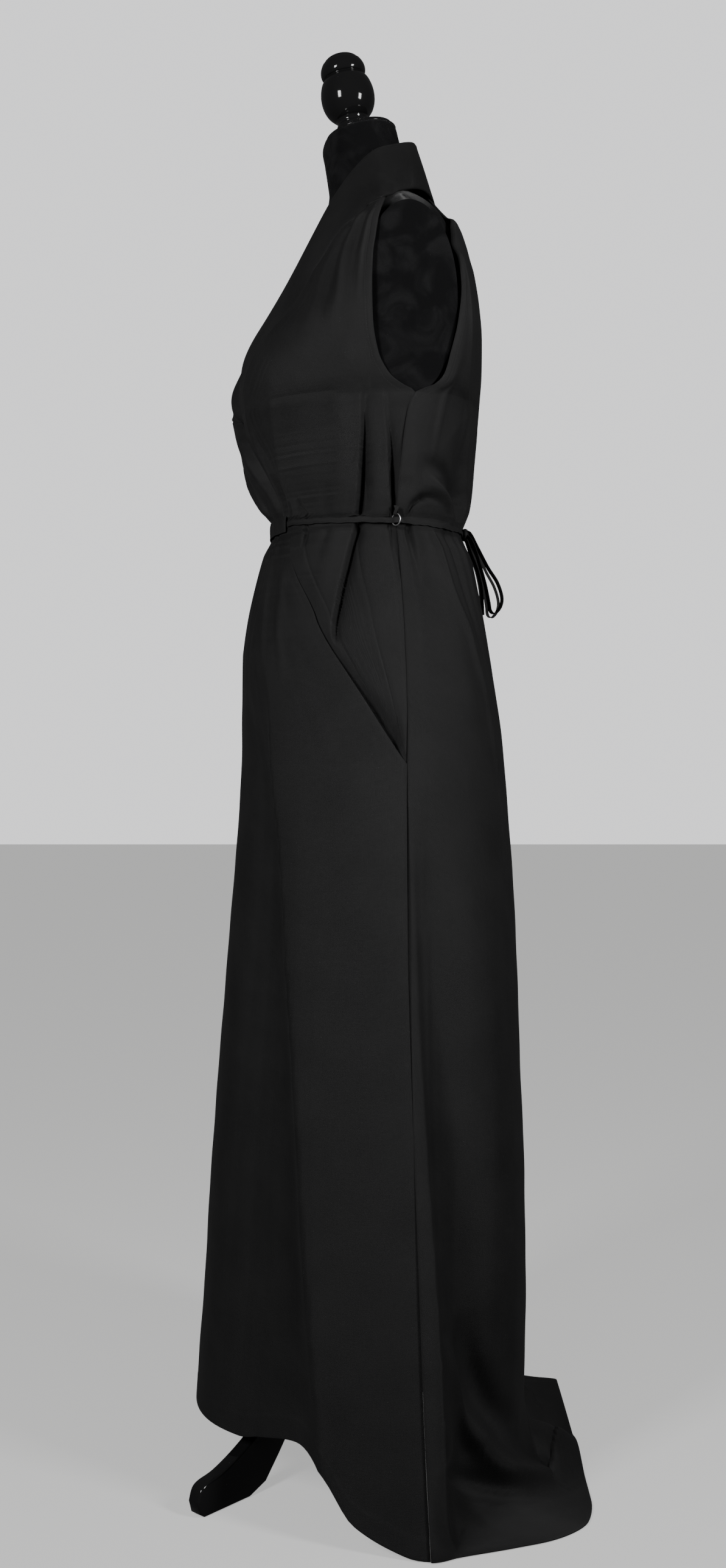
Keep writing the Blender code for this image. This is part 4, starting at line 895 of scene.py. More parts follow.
    @classmethod
    def dress(cls, half: Half, z: Array, turn: Array, out: Array | float = 0.0) -> Array:
        """The cloth's outer face, down to the hem and out over the train.

        Args:
            half: The half of the skin.
            z: Height, before the rows near the floor are fitted to the hem.
            turn: Turn in degrees.
            out: How far to move out.

        Returns:
            The places, from the pole line.
        """
        near = np.minimum(turn, 180 - turn)
        hem = curve(FRONT_HEM, "z").at(near) if half is FRONT else FRONT_HEM[0].z + 0 * near
        low = np.where(z < HEM_BLEND, hem + z / HEM_BLEND * (HEM_BLEND - hem), z)
        straight = cls.folded(half, low, turn, out)
        if half is FRONT:
            return straight
        bend = hem + TRAIN_BEND / HEM_BLEND * (HEM_BLEND - hem) + 0 * z
        top = cls.folded(half, bend, turn, out)
        corner = top * (1, 1, 0) + (0, 0, cls.train_corner)
        end = np.stack((
            curve(TRAIN_HEM, "x").at(turn) + 0 * z, curve(TRAIN_HEM, "y").at(turn) + 0 * z,
            CLOTH + 0.0006 + 0 * z * turn,
        ), -1)
        u = np.clip(1 - z / TRAIN_BEND, 0, 1)[..., None]
        swept = top * (1 - u) ** 2 + corner * 2 * u * (1 - u) + end * u * u
        swept[..., 2] = np.maximum(swept[..., 2], cls.leg_mound(swept))
        share = ease(near / TRAIN_TURN) * (z < TRAIN_BEND)
        return straight + (swept - straight) * share[..., None]


# ---- materials


class Shader:
    """A material's node sheet: nodes are added by kind and joined by socket name."""

    def __init__(self, tree: Tree) -> None:
        """Start on an empty tree."""
        self.tree = tree
        self.main: bpy.types.Node | None = None
        tree.nodes.clear()

    def add(self, kind: str, **sockets: object) -> bpy.types.Node:
        """Add a node.

        Args:
            kind: The node's type, without "ShaderNode".
            sockets: Input names, with spaces as underscores, and a value or an output each.
                Names that are no input are set on the node itself.

        Returns:
            The node.
        """
        node = self.tree.nodes.new(kind if kind.startswith("Node") else "ShaderNode" + kind)
        for key, value in sockets.items():
            name = key.replace("_", " ")
            if hasattr(node, key) and name not in node.inputs:
                setattr(node, key, value)
                continue
            self.put(node.inputs[int(key[1:])] if key[1:].isdigit() else node.inputs[name], value)
        return node

    def put(self, socket: Socket, value: object) -> None:
        """Join an output to a socket, or set its value."""
        if isinstance(value, Socket):
            self.tree.links.new(value, socket)
        else:
            socket.default_value = value

    def feed(self, name: str, value: object) -> None:
        """Join an output to one of the main shader's sockets."""
        self.put(self.main.inputs[name], value)

    def math(self, operation: str, first: object, second: object = 0.0) -> Socket:
        """A sum or a comparison of two values."""
        return self.add("Math", operation=operation, i0=first, i1=second).outputs[0]

    def times(self, first: object, second: object) -> Socket:
        """The product of two values."""
        return self.math("MULTIPLY", first, second)

    def plus(self, first: object, second: object) -> Socket:
        """The sum of two values."""
        return self.math("ADD", first, second)

    def ramp(self, value: object, low: float, high: float) -> Socket:
        """A value's place between low and high, eased and kept from 0 to 1."""
        node = self.add("MapRange", interpolation_type="SMOOTHSTEP", Value=value)
        node.inputs["From Min"].default_value = low
        node.inputs["From Max"].default_value = high
        return node.outputs["Result"]

    def noise(self, vector: object, scale: float, detail: float = 2.0) -> Socket:
        """Noise, from 0 to 1."""
        return self.add("TexNoise", Vector=vector, Scale=scale, Detail=detail).outputs["Fac"]

    def stretch(self, vector: object, x: float, y: float, z: float = 1.0) -> Socket:
        """A vector scaled along each axis."""
        return self.add("Mapping", Vector=vector, Scale=(x, y, z)).outputs[0]

    def blend(self, share: object, first: object, second: object) -> Socket:
        """Mix two colours.

        Args:
            share: How much of the second colour, from 0 to 1.
            first: Colour at 0, as three values or an output.
            second: Colour at 1, likewise.

        Returns:
            The mixed colour.
        """
        node = self.add("Mix", data_type="RGBA")
        self.put(node.inputs["Factor"], share)
        for socket, colour in ((node.inputs[6], first), (node.inputs[7], second)):
            self.put(socket, colour if isinstance(colour, Socket) else (*colour, 1.0))
        return node.outputs[2]

    def speckle(self, specks: Tree, where: Socket, colour: object, lint: object,
                **sizes: float) -> None:
        """Strew specks of lint, by their Scale, Size and Share, over the Base Color."""
        found = self.add("Group", node_tree=specks, Vector=where, **sizes)
        self.feed("Base Color", self.blend(found.outputs["Mask"], colour, lint))

    def relieve(self, height: object, distance: float, strength: float = 1.0) -> None:
        """Feed a height to the main shader's Normal, distance metres high."""
        node = self.add("Bump", Height=height, Distance=distance, Strength=strength)
        self.feed("Normal", node.outputs[0])


def new_group(name: str, inputs: dict[str, float | None], outputs: Sequence[str]) -> Shader:
    """Start a shader node group.

    Args:
        name: The group's name.
        inputs: Its inputs and what each starts as, where None is a vector.
        outputs: Its outputs, each a value.

    Returns:
        The group's node sheet, without its input and output nodes.
    """
    tree = bpy.data.node_groups.new(name, "ShaderNodeTree")
    for key, value in inputs.items():
        kind = "NodeSocketVector" if value is None else "NodeSocketFloat"
        socket = tree.interface.new_socket(name=key, in_out="INPUT", socket_type=kind)
        if value is not None:
            socket.default_value = value
    for key in outputs:
        tree.interface.new_socket(name=key, in_out="OUTPUT", socket_type="NodeSocketFloat")
    return Shader(tree)


def weave_group() -> Tree:
    """Crossing threads with slubs: their height, and how light each place is.

    Returns:
        The group.
    """
    sheet = new_group(
        "plain_weave", {"Vector": None, "Threads": 1250.0, "Slubs": 0.5, "Mottle": 0.5},
        ("Height", "Light"),
    )
    given = sheet.add("NodeGroupInput").outputs
    sway = sheet.noise(given["Vector"], 90.0, 1.0)
    moved = sheet.add("VectorMath", operation="ADD", i0=given["Vector"])
    shift = sheet.add("CombineXYZ", X=sheet.times(sway, 0.0007),
                      Y=sheet.times(sway, 0.0009))
    sheet.put(moved.inputs[1], shift.outputs[0])
    apart = sheet.add("SeparateXYZ", Vector=moved.outputs[0])
    waves = []
    for axis in "XY":
        turns = sheet.times(apart.outputs[axis], given["Threads"])
        waves.append(sheet.math("SINE", sheet.times(turns, 2 * math.pi)))
    crossing = sheet.times(waves[0], waves[1])
    weft = sheet.noise(sheet.stretch(given["Vector"], 45.0, 1500.0), 1.0, 2.0)
    warp = sheet.noise(sheet.stretch(given["Vector"], 1400.0, 30.0, 3.0), 1.0, 2.0)
    slub = sheet.times(sheet.plus(weft, warp), given["Slubs"])
    height = sheet.plus(sheet.times(crossing, 0.35), slub)
    grain = sheet.noise(given["Vector"], 900.0, 2.0)
    patches = sheet.times(sheet.noise(given["Vector"], 16.0, 3.0), given["Mottle"])
    light = sheet.plus(sheet.times(slub, 0.55), patches)
    light = sheet.plus(light, sheet.times(grain, 0.35))
    sheet.add("NodeGroupOutput", Height=height, Light=light)
    return sheet.tree


def nap_group() -> Tree:
    """A short pile: its height, and the patches where the nap lies the other way, a mask for painted
    sheen.

    Returns:
        The group.
    """
    sheet = new_group("pile", {"Vector": None, "Fibres": 1800.0, "Patch": 22.0},
                      ("Height", "Brushed"))
    given = sheet.add("NodeGroupInput").outputs
    fibres = sheet.add("TexNoise", Vector=given["Vector"], Detail=1.0)
    sheet.put(fibres.inputs["Scale"], given["Fibres"])
    patch = sheet.add("TexNoise", Vector=given["Vector"], Detail=4.0, Distortion=1.4)
    sheet.put(patch.inputs["Scale"], given["Patch"])
    # the patches of nap laid the other way, which the velvet paints lighter: painted sheen
    brushed = sheet.ramp(patch.outputs["Fac"], 0.42, 0.7)
    sheet.add("NodeGroupOutput", Height=fibres.outputs["Fac"], Brushed=brushed)
    return sheet.tree


def speck_group() -> Tree:
    """Scattered specks of lint or dust, as a mask.

    Returns:
        The group.
    """
    sheet = new_group("specks", {"Vector": None, "Scale": 300.0, "Size": 0.2, "Share": 0.2},
                      ("Mask",))
    given = sheet.add("NodeGroupInput").outputs
    cells = sheet.add("TexVoronoi", Vector=given["Vector"])
    sheet.put(cells.inputs["Scale"], given["Scale"])
    near = sheet.math("LESS_THAN", cells.outputs["Distance"], given["Size"])
    lucky = sheet.add("SeparateColor", Color=cells.outputs["Color"]).outputs[0]
    chosen = sheet.math("LESS_THAN", lucky, given["Share"])
    sheet.add("NodeGroupOutput", Mask=sheet.times(near, chosen))
    return sheet.tree


def wear_group() -> Tree:
    """Rubbing and fine scratches, as a mask.

    Returns:
        The group.
    """
    sheet = new_group("rubbing", {"Vector": None, "Scale": 30.0, "Amount": 0.5}, ("Mask",))
    given = sheet.add("NodeGroupInput").outputs
    cloud = sheet.add("TexNoise", Vector=given["Vector"], Detail=6.0, Roughness=0.7)
    sheet.put(cloud.inputs["Scale"], given["Scale"])
    fine = sheet.noise(sheet.stretch(given["Vector"], 60.0, 900.0, 900.0), 1.0, 2.0)
    scratch = sheet.ramp(fine, 0.66, 0.72)
    mask = sheet.times(sheet.plus(cloud.outputs["Fac"], scratch), given["Amount"])
    sheet.add("NodeGroupOutput", Mask=mask)
    return sheet.tree


Colour = tuple[float, float, float]


@dataclass(frozen=True)
class Groups:
    """The node groups that the finishes share."""

    weave: Tree
    nap: Tree
    specks: Tree
    wear: Tree

    @classmethod
    def make(cls) -> "Groups":
        """Build every group once."""
        return cls(weave_group(), nap_group(), speck_group(), wear_group())


Colour = tuple[float, float, float]


def start_material(name: str, **sockets: object) -> tuple[bpy.types.Material, Shader]:
    """Start a material with a Principled shader.

    Args:
        name: The material's name.
        sockets: The shader's own values.

    Returns:
        The material and its node sheet.
    """
    made = bpy.data.materials.new(name)
    made.use_nodes = True
    sheet = Shader(made.node_tree)
    sheet.main = sheet.add("BsdfPrincipled", **sockets)
    sheet.add("OutputMaterial", Surface=sheet.main.outputs[0])
    return made, sheet


@dataclass(frozen=True)
class Crepe:
    """Matt woven crepe, nearly black."""

    dark: Colour = (0.005, 0.005, 0.0052)
    light: Colour = (0.0136, 0.0134, 0.0136)
    lint: Colour = (0.06, 0.06, 0.06)
    threads: float = 1250.0

    def make(self, groups: Groups) -> bpy.types.Material:
        """Build the material, which follows each panel's own cloth coordinates.

        Args:
            groups: The shared node groups.

        Returns:
            The material.
        """
        made, sheet = start_material("matt_crepe", Sheen_Weight=0.03, Sheen_Roughness=0.5,
                                     Specular_IOR_Level=0.42)
        cloth = sheet.add("UVMap", uv_map="cloth").outputs[0]
        weave = sheet.add("Group", node_tree=groups.weave, Vector=cloth, Threads=self.threads)
        tone = sheet.ramp(weave.outputs["Light"], 0.46, 0.98)
        woven = sheet.blend(tone, self.dark, self.light)
        sheet.speckle(groups.specks, cloth, woven, self.lint, Scale=130.0, Size=0.045, Share=0.16)
        rough = sheet.add("MapRange", Value=weave.outputs["Light"])
        rough.inputs["To Min"].default_value = 0.5
        rough.inputs["To Max"].default_value = 0.64
        sheet.feed("Roughness", rough.outputs["Result"])
        sheet.relieve(weave.outputs["Height"], 0.00022)
        return made


@dataclass(frozen=True)
class Velvet:
    """Black velvet with lint, and patches of nap laid the other way painted lighter as painted sheen.
    """

    dark: Colour = (0.01, 0.01, 0.0106)
    # the lighter colour of nap laid the other way: painted sheen
    brushed: Colour = (0.023, 0.023, 0.0238)
    lint: Colour = (0.04, 0.04, 0.042)

    def make(self, groups: Groups) -> bpy.types.Material:
        """Build the material.

        Args:
            groups: The shared node groups.

        Returns:
            The material.
        """
        made, sheet = start_material("black_velvet", Sheen_Weight=0.2, Sheen_Roughness=0.28,
                                     Specular_IOR_Level=0.06, Roughness=0.95)
        here = sheet.add("TexCoord").outputs["Object"]
        nap = sheet.add("Group", node_tree=groups.nap, Vector=here)
        # painted sheen: patches of nap laid the other way get the lighter colour
        pile = sheet.times(nap.outputs["Brushed"], nap.outputs["Height"])
        colour = sheet.blend(sheet.times(pile, 1.5), self.dark, self.brushed)
        sheet.speckle(groups.specks, here, colour, self.lint, Scale=240.0, Size=0.1, Share=0.03)
        sheet.relieve(nap.outputs["Height"], 0.0006, 0.8)
        return made


@dataclass(frozen=True)
class Lacquer:
    """Black piano lacquer on turned and sawn wood."""

    black: Colour = (0.013, 0.013, 0.0134)
    rubbed: Colour = (0.012, 0.0115, 0.011)
    dust: Colour = (0.09, 0.085, 0.08)

    def make(self, groups: Groups) -> bpy.types.Material:
        """Build the material.

        Args:
            groups: The shared node groups.

        Returns:
            The material.
        """
        made, sheet = start_material("black_lacquer", Coat_Weight=1.0, Coat_Roughness=0.03,
                                     Specular_IOR_Level=0.12)
        here = sheet.add("TexCoord").outputs["Object"]
        wear = sheet.add("Group", node_tree=groups.wear, Vector=here, Scale=26.0, Amount=0.4)
        tone = sheet.ramp(wear.outputs["Mask"], 0.25, 0.75)
        colour = sheet.blend(tone, self.black, self.rubbed)
        sheet.speckle(groups.specks, here, colour, self.dust, Scale=210.0, Size=0.09, Share=0.06)
        sheet.feed("Roughness", sheet.plus(sheet.times(tone, 0.16), 0.12))
        sheet.relieve(sheet.noise(here, 60.0, 1.0), 0.00003, 0.4)
        return made


@dataclass(frozen=True)
class Silver:
    """Bright plated metal of the rings."""

    bright: Colour = (0.82, 0.82, 0.83)
    dull: Colour = (0.52, 0.52, 0.53)

    def make(self, groups: Groups) -> bpy.types.Material:
        """Build the material.

        Args:
            groups: The shared node groups.

        Returns:
            The material.
        """
        made, sheet = start_material("bright_plating", Metallic=1.0)
        here = sheet.add("TexCoord").outputs["Object"]
        wear = sheet.add("Group", node_tree=groups.wear, Vector=here, Scale=240.0, Amount=0.7)
        tone = sheet.ramp(wear.outputs["Mask"], 0.25, 0.8)
        sheet.feed("Base Color", sheet.blend(tone, self.bright, self.dull))
        sheet.feed("Roughness", sheet.plus(sheet.times(tone, 0.18), 0.34))
        sheet.relieve(wear.outputs["Mask"], 0.00001, 0.5)
        return made


@dataclass(frozen=True)
class Thread:
    """Sewing thread, a little brighter than the cloth."""

    dark: Colour = (0.012, 0.012, 0.0122)
    light: Colour = (0.034, 0.034, 0.0345)

    def make(self, groups: Groups) -> bpy.types.Material:
        """Build the material.

        Args:
            groups: The shared node groups, which are not used here.

        Returns:
            The material.
        """
        made, sheet = start_material("sewing_thread", Sheen_Weight=0.2, Specular_IOR_Level=0.35,
                                     Roughness=0.6)
        here = sheet.add("TexCoord").outputs["Object"]
        ply = sheet.noise(here, 2600.0, 1.0)
        sheet.feed("Base Color", sheet.blend(ply, self.dark, self.light))
        sheet.relieve(ply, 0.0001)
        return made


@dataclass(frozen=True)
class PaleFloor:
    """Plain pale studio floor."""

    colour: Colour = (0.62, 0.62, 0.615)
    glow: float = 0.8

    def make(self) -> bpy.types.Material:
        """Build the material."""
        made, sheet = start_material("pale_floor", Roughness=0.75, Emission_Strength=self.glow)
        for name in ("Base Color", "Emission Color"):
            sheet.feed(name, (*self.colour, 1.0))
        return made


class Finish(NamedTuple):
    """A material, and the name of a slot of the part."""

    material: bpy.types.Material
    slot: str


@dataclass(frozen=True)
class Finishes:
    """Every finish, made once."""

    crepe: Finish
    velvet: Finish
    lacquer: Finish
    silver: Finish
    thread: Finish

    @classmethod
    def make(cls) -> "Finishes":
        """Build the groups and then the materials.

        Returns:
            The finishes.
        """
        groups = Groups.make()
        return cls(
            Finish(Crepe().make(groups), "cloth"), Finish(Velvet().make(groups), "velvet"),
            Finish(Lacquer().make(groups), "lacquered_wood"),
            Finish(Silver().make(groups), "ring_metal"), Finish(Thread().make(groups), "cloth"),
        )


# ---- making pieces


@dataclass
class Cut:
    """A piece of cloth as a grid of places, rows down it and columns across it."""

    v: Array
    u: Array
    points: Array
    normals: Array
    down: Array
    across: Array

    @classmethod
    def lay(cls, place: Place, rows: Array, columns: Array) -> "Cut":
        """Lay the grid on a surface.

        Args:
            place: The surface, by fractions down and across.
            rows: The fractions of the rows.
            columns: The fractions of the columns.

        Returns:
            The grid. Its normals point outwards, across by down.
        """
        v, u = np.meshgrid(rows, columns, indexing="ij")
        points = place(v, u)
        normals = unit(np.cross(np.gradient(points, axis=1), np.gradient(points, axis=0)))
        down = np.linalg.norm(np.diff(points, axis=0, prepend=points[:1]), axis=-1).cumsum(0)
        across = np.linalg.norm(np.diff(points, axis=1, prepend=points[:, :1]), axis=-1).cumsum(1)
        return cls(v, u, points, normals, down, across)

    def lift(self, height: Array) -> None:
        """Move each place out along its normal."""
        self.points = self.points + self.normals * height[..., None]

    def from_last_column(self) -> Array:
        """Distance along each row from the last column."""
        return self.across[:, -1:] - self.across

    def from_last_row(self) -> Array:
        """Distance down each column to the last row."""
        return self.down[-1:] - self.down

    def from_line(self, line: Array) -> tuple[Array, Array]:
        """Distance of each place from a line of points, and which point is nearest.

        Args:
            line: The line's places.

        Returns:
            The distances, and the nearest points' numbers.
        """
        flat = self.points.reshape(-1, 3)
        gap, nearest = np.empty(len(flat)), np.empty(len(flat), int)
        for start in range(0, len(flat), 4000):
            block = ((flat[start:start + 4000, None] - line[None]) ** 2).sum(-1)
            gap[start:start + 4000] = np.sqrt(block.min(1))
            nearest[start:start + 4000] = block.argmin(1)
        return gap.reshape(self.u.shape), nearest.reshape(self.u.shape)


def fractions(count: int) -> Array:
    """Even fractions from 0 to 1."""
    return np.linspace(0.0, 1.0, count + 1)


def own_frame(points: Array) -> Array:
    """Move places from the pole line's frame to the object's own."""
    return points + (0.0, AXIS_Y, 0.0)


def new_object(name: str, bm: Mesh, finish: Finish) -> Piece:
    """Make a smooth object of a bmesh, at the origin, riding on the body.

    Args:
        name: Its name.
        bm: Its mesh.
        finish: Its finish.

    Returns:
        The object.
    """
    mesh = bpy.data.meshes.new(name)
    bm.to_mesh(mesh)
    bm.free()
    mesh.materials.append(finish.material)
    mesh.shade_smooth()
    made = bpy.data.objects.new(name, mesh)
    bpy.context.scene.collection.objects.link(made)
    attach(made, BODY)
    return made


def new_piece(node: str, bm: Mesh, finish: Finish) -> Piece:
    """Make the object that shows one node of the part."""
    made = new_object(node + "_look", bm, finish)
    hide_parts(node)
    return made


def cloth_mesh(cut: Cut, keep: Array | None = None, flip: bool = False) -> Mesh:
    """A sheet of faces on a cut, with its cloth coordinates in metres.

    Args:
        cut: The grid.
        keep: Whether each cell of the grid is cloth.
        flip: Whether to turn the faces over.

    Returns:
        The sheet, without thickness.
    """
    rows, columns = cut.u.shape[0] - 1, cut.u.shape[1] - 1
    bm = bmesh.new()
    bmesh.ops.create_grid(bm, x_segments=columns, y_segments=rows, size=0.5)
    layer = bm.loops.layers.uv.new("cloth")
    flat = own_frame(cut.points)
    cell = {}
    for vert in bm.verts:
        i, j = round((vert.co.y + 0.5) * rows), round((vert.co.x + 0.5) * columns)
        cell[vert.index] = (i, j)
        vert.co = flat[i, j]
    for face in bm.faces:
        for loop in face.loops:
            i, j = cell[loop.vert.index]
            loop[layer].uv = (cut.across[i, j], -cut.down[i, j])
    if keep is not None:
        bm.verts.index_update()
        gone = [
            face for face in bm.faces
            if not keep[min(cell[v.index][0] for v in face.verts),
                        min(cell[v.index][1] for v in face.verts)]
        ]
        bmesh.ops.delete(bm, geom=gone, context="FACES")
    if flip:
        bmesh.ops.reverse_faces(bm, faces=bm.faces)
    return bm


def thicken(made: Piece, thickness: float, edge: float = 0.0004) -> None:
    """Give a sheet its thickness, inwards, and round its edges.

    Args:
        made: The sheet.
        thickness: How thick it gets.
        edge: How round its edges get.
    """
    solid = made.modifiers.new("Thickness", "SOLIDIFY")
    solid.thickness = thickness
    solid.offset = -1.0
    round_off = made.modifiers.new("Edge", "BEVEL")
    round_off.width = edge
    round_off.segments = 2
    round_off.limit_method = "ANGLE"
    round_off.angle_limit = math.radians(62)


def panel(node: str, cut: Cut, finish: Finish, thickness: float = SHELL, edge: float = 0.0004,
          **how: object) -> Piece:
    """Make a sheet of cloth that shows one node.

    Args:
        node: The node.
        cut: The sheet's outer face.
        finish: Its finish.
        thickness: How thick it is, inwards.
        edge: How round its edges are.
        how: What cloth_mesh takes besides the cut.

    Returns:
        The piece.
    """
    made = new_piece(node, cloth_mesh(cut, **how), finish)
    thicken(made, thickness, edge)
    return made


def tube(cut: Cut) -> Mesh:
    """A closed skin of a cut that goes once round by u, with its ends filled."""
    bm = cloth_mesh(cut)
    bmesh.ops.remove_doubles(bm, verts=bm.verts, dist=2e-5)
    bmesh.ops.holes_fill(bm, edges=[edge for edge in bm.edges if edge.is_boundary], sides=0)
    bmesh.ops.recalc_face_normals(bm, faces=bm.faces)
    return bm


def spin(bm: Mesh, steps: int, place: Matrix) -> None:
    """Spin a profile once round +Z, close it and put it in its place.

    Args:
        bm: The profile, as vertices and edges.
        steps: How many facets it gets.
        place: Where it goes, in the object's own frame.
    """
    bmesh.ops.spin(bm, geom=[*bm.verts, *bm.edges], cent=(0, 0, 0), axis=(0, 0, 1),
                   angle=2 * math.pi, steps=steps, use_merge=True)
    bmesh.ops.remove_doubles(bm, verts=bm.verts, dist=1e-6)
    bmesh.ops.recalc_face_normals(bm, faces=bm.faces)
    bmesh.ops.transform(bm, matrix=place, verts=bm.verts)


def strap(node: str, place: Place, rows: int, columns: int, finish: Finish) -> Piece:
    """A closed strap: place goes along it by v and once round it by u."""
    return new_piece(node, tube(Cut.lay(place, fractions(rows), fractions(columns))), finish)


def mirrored(source: Piece, node: str, finish: Finish) -> Piece:
    """A copy of a piece, mirrored from the wearer's left to the right.

    Args:
        source: The left piece.
        node: The right one's node.
        finish: Its finish.

    Returns:
        The right piece.
    """
    bm = bmesh.new()
    bm.from_mesh(source.data)
    bmesh.ops.transform(bm, matrix=Matrix.Scale(-1, 4, (1, 0, 0)), verts=bm.verts)
    bmesh.ops.reverse_faces(bm, faces=bm.faces)
    made = new_piece(node, bm, finish)
    for kept in source.modifiers:
        if kept.type == "SOLIDIFY":
            thicken(made, kept.thickness, source.modifiers["Edge"].width)
    return made


@dataclass(frozen=True)
class Stitching:
    """A row of stitches: its pitch, and each stitch's length and thread."""

    pitch: float = 0.003
    length: float = 0.0021
    thread: float = 0.00042
    sink: float = 0.00006

    def sew(self, name: str, lines: Sequence[Array], panels: Sequence[Piece],
            finish: Finish) -> Piece:
        """Sew along lines that lie near some panels.

        Args:
            name: The piece's name.
            lines: Each row of stitches, as places from the pole line.
            panels: The cloth that they go through.
            finish: The thread.

        Returns:
            Every stitch, as one piece.
        """
        graph = bpy.context.evaluated_depsgraph_get()
        trees = [BVHTree.FromObject(panel, graph) for panel in panels]
        bm = bmesh.new()
        for line in lines:
            for here, ahead in self.places(own_frame(line)):
                hits = [tree.find_nearest(here) for tree in trees]
                spot, normal, _, _ = min(
                    (hit for hit in hits if hit[0] is not None), key=lambda hit: hit[3])
                self.stitch(bm, spot - normal * self.sink, normal, ahead)
        return new_object(name, bm, finish)

    def places(self, line: Array) -> list[tuple[Vector, Vector]]:
        """Where the stitches lie along a line, and which way each one runs.

        Args:
            line: The line's places.

        Returns:
            Each stitch's middle and direction.
        """
        steps = np.linalg.norm(np.diff(line, axis=0), axis=1)
        along = np.concatenate(([0.0], steps.cumsum()))
        count = max(1, int(along[-1] / self.pitch))
        spots = (np.arange(count) + 0.5) * along[-1] / count
        found = []
        for spot in spots:
            low, high = (
                Vector([np.interp(s, along, line[:, k]) for k in range(3)])
                for s in (spot - self.length / 2, spot + self.length / 2)
            )
            found.append(((low + high) / 2, (high - low).normalized()))
        return found

    def stitch(self, bm: Mesh, spot: Vector, normal: Vector, ahead: Vector) -> None:
        """One stitch: a low grain of thread.

        Args:
            bm: The mesh that it joins.
            spot: Its middle.
            normal: The cloth's normal there.
            ahead: Which way it runs.
        """
        side = normal.cross(ahead).normalized()
        turn = Matrix((side.cross(normal), side, normal)).transposed().to_4x4()
        size = Matrix.Diagonal((self.length / 2, self.thread / 2, self.thread / 2, 1.0))
        bmesh.ops.create_uvsphere(
            bm, u_segments=6, v_segments=4, radius=1.0,
            matrix=Matrix.Translation(spot) @ turn @ size @ Matrix.Rotation(math.pi / 2, 4, "Y"),
        )


# ---- the fronts


def rows_between(*stretches: tuple[float, int]) -> Array:
    """Row fractions down a panel.

    Args:
        stretches: Each height that a stretch starts from, and its rows. The last ends it.

    Returns:
        The fractions, from 0 at the first height to 1 at the last.
    """
    heights = [z for z, _ in stretches]
    lines = [
        np.linspace(low, high, count + 1)[:-1]
        for (low, count), high in zip(stretches, heights[1:])
    ]
    every = np.concatenate((*lines, [heights[-1]]))
    return (heights[0] - every) / (heights[0] - heights[-1])


SKIRT_ROWS = (
    (WAIST_Z, 76), (POCKET_BOTTOM_Z, 84), (HEM_BLEND, 44), (TRAIN_BEND, 32), (0.0, 0),
)


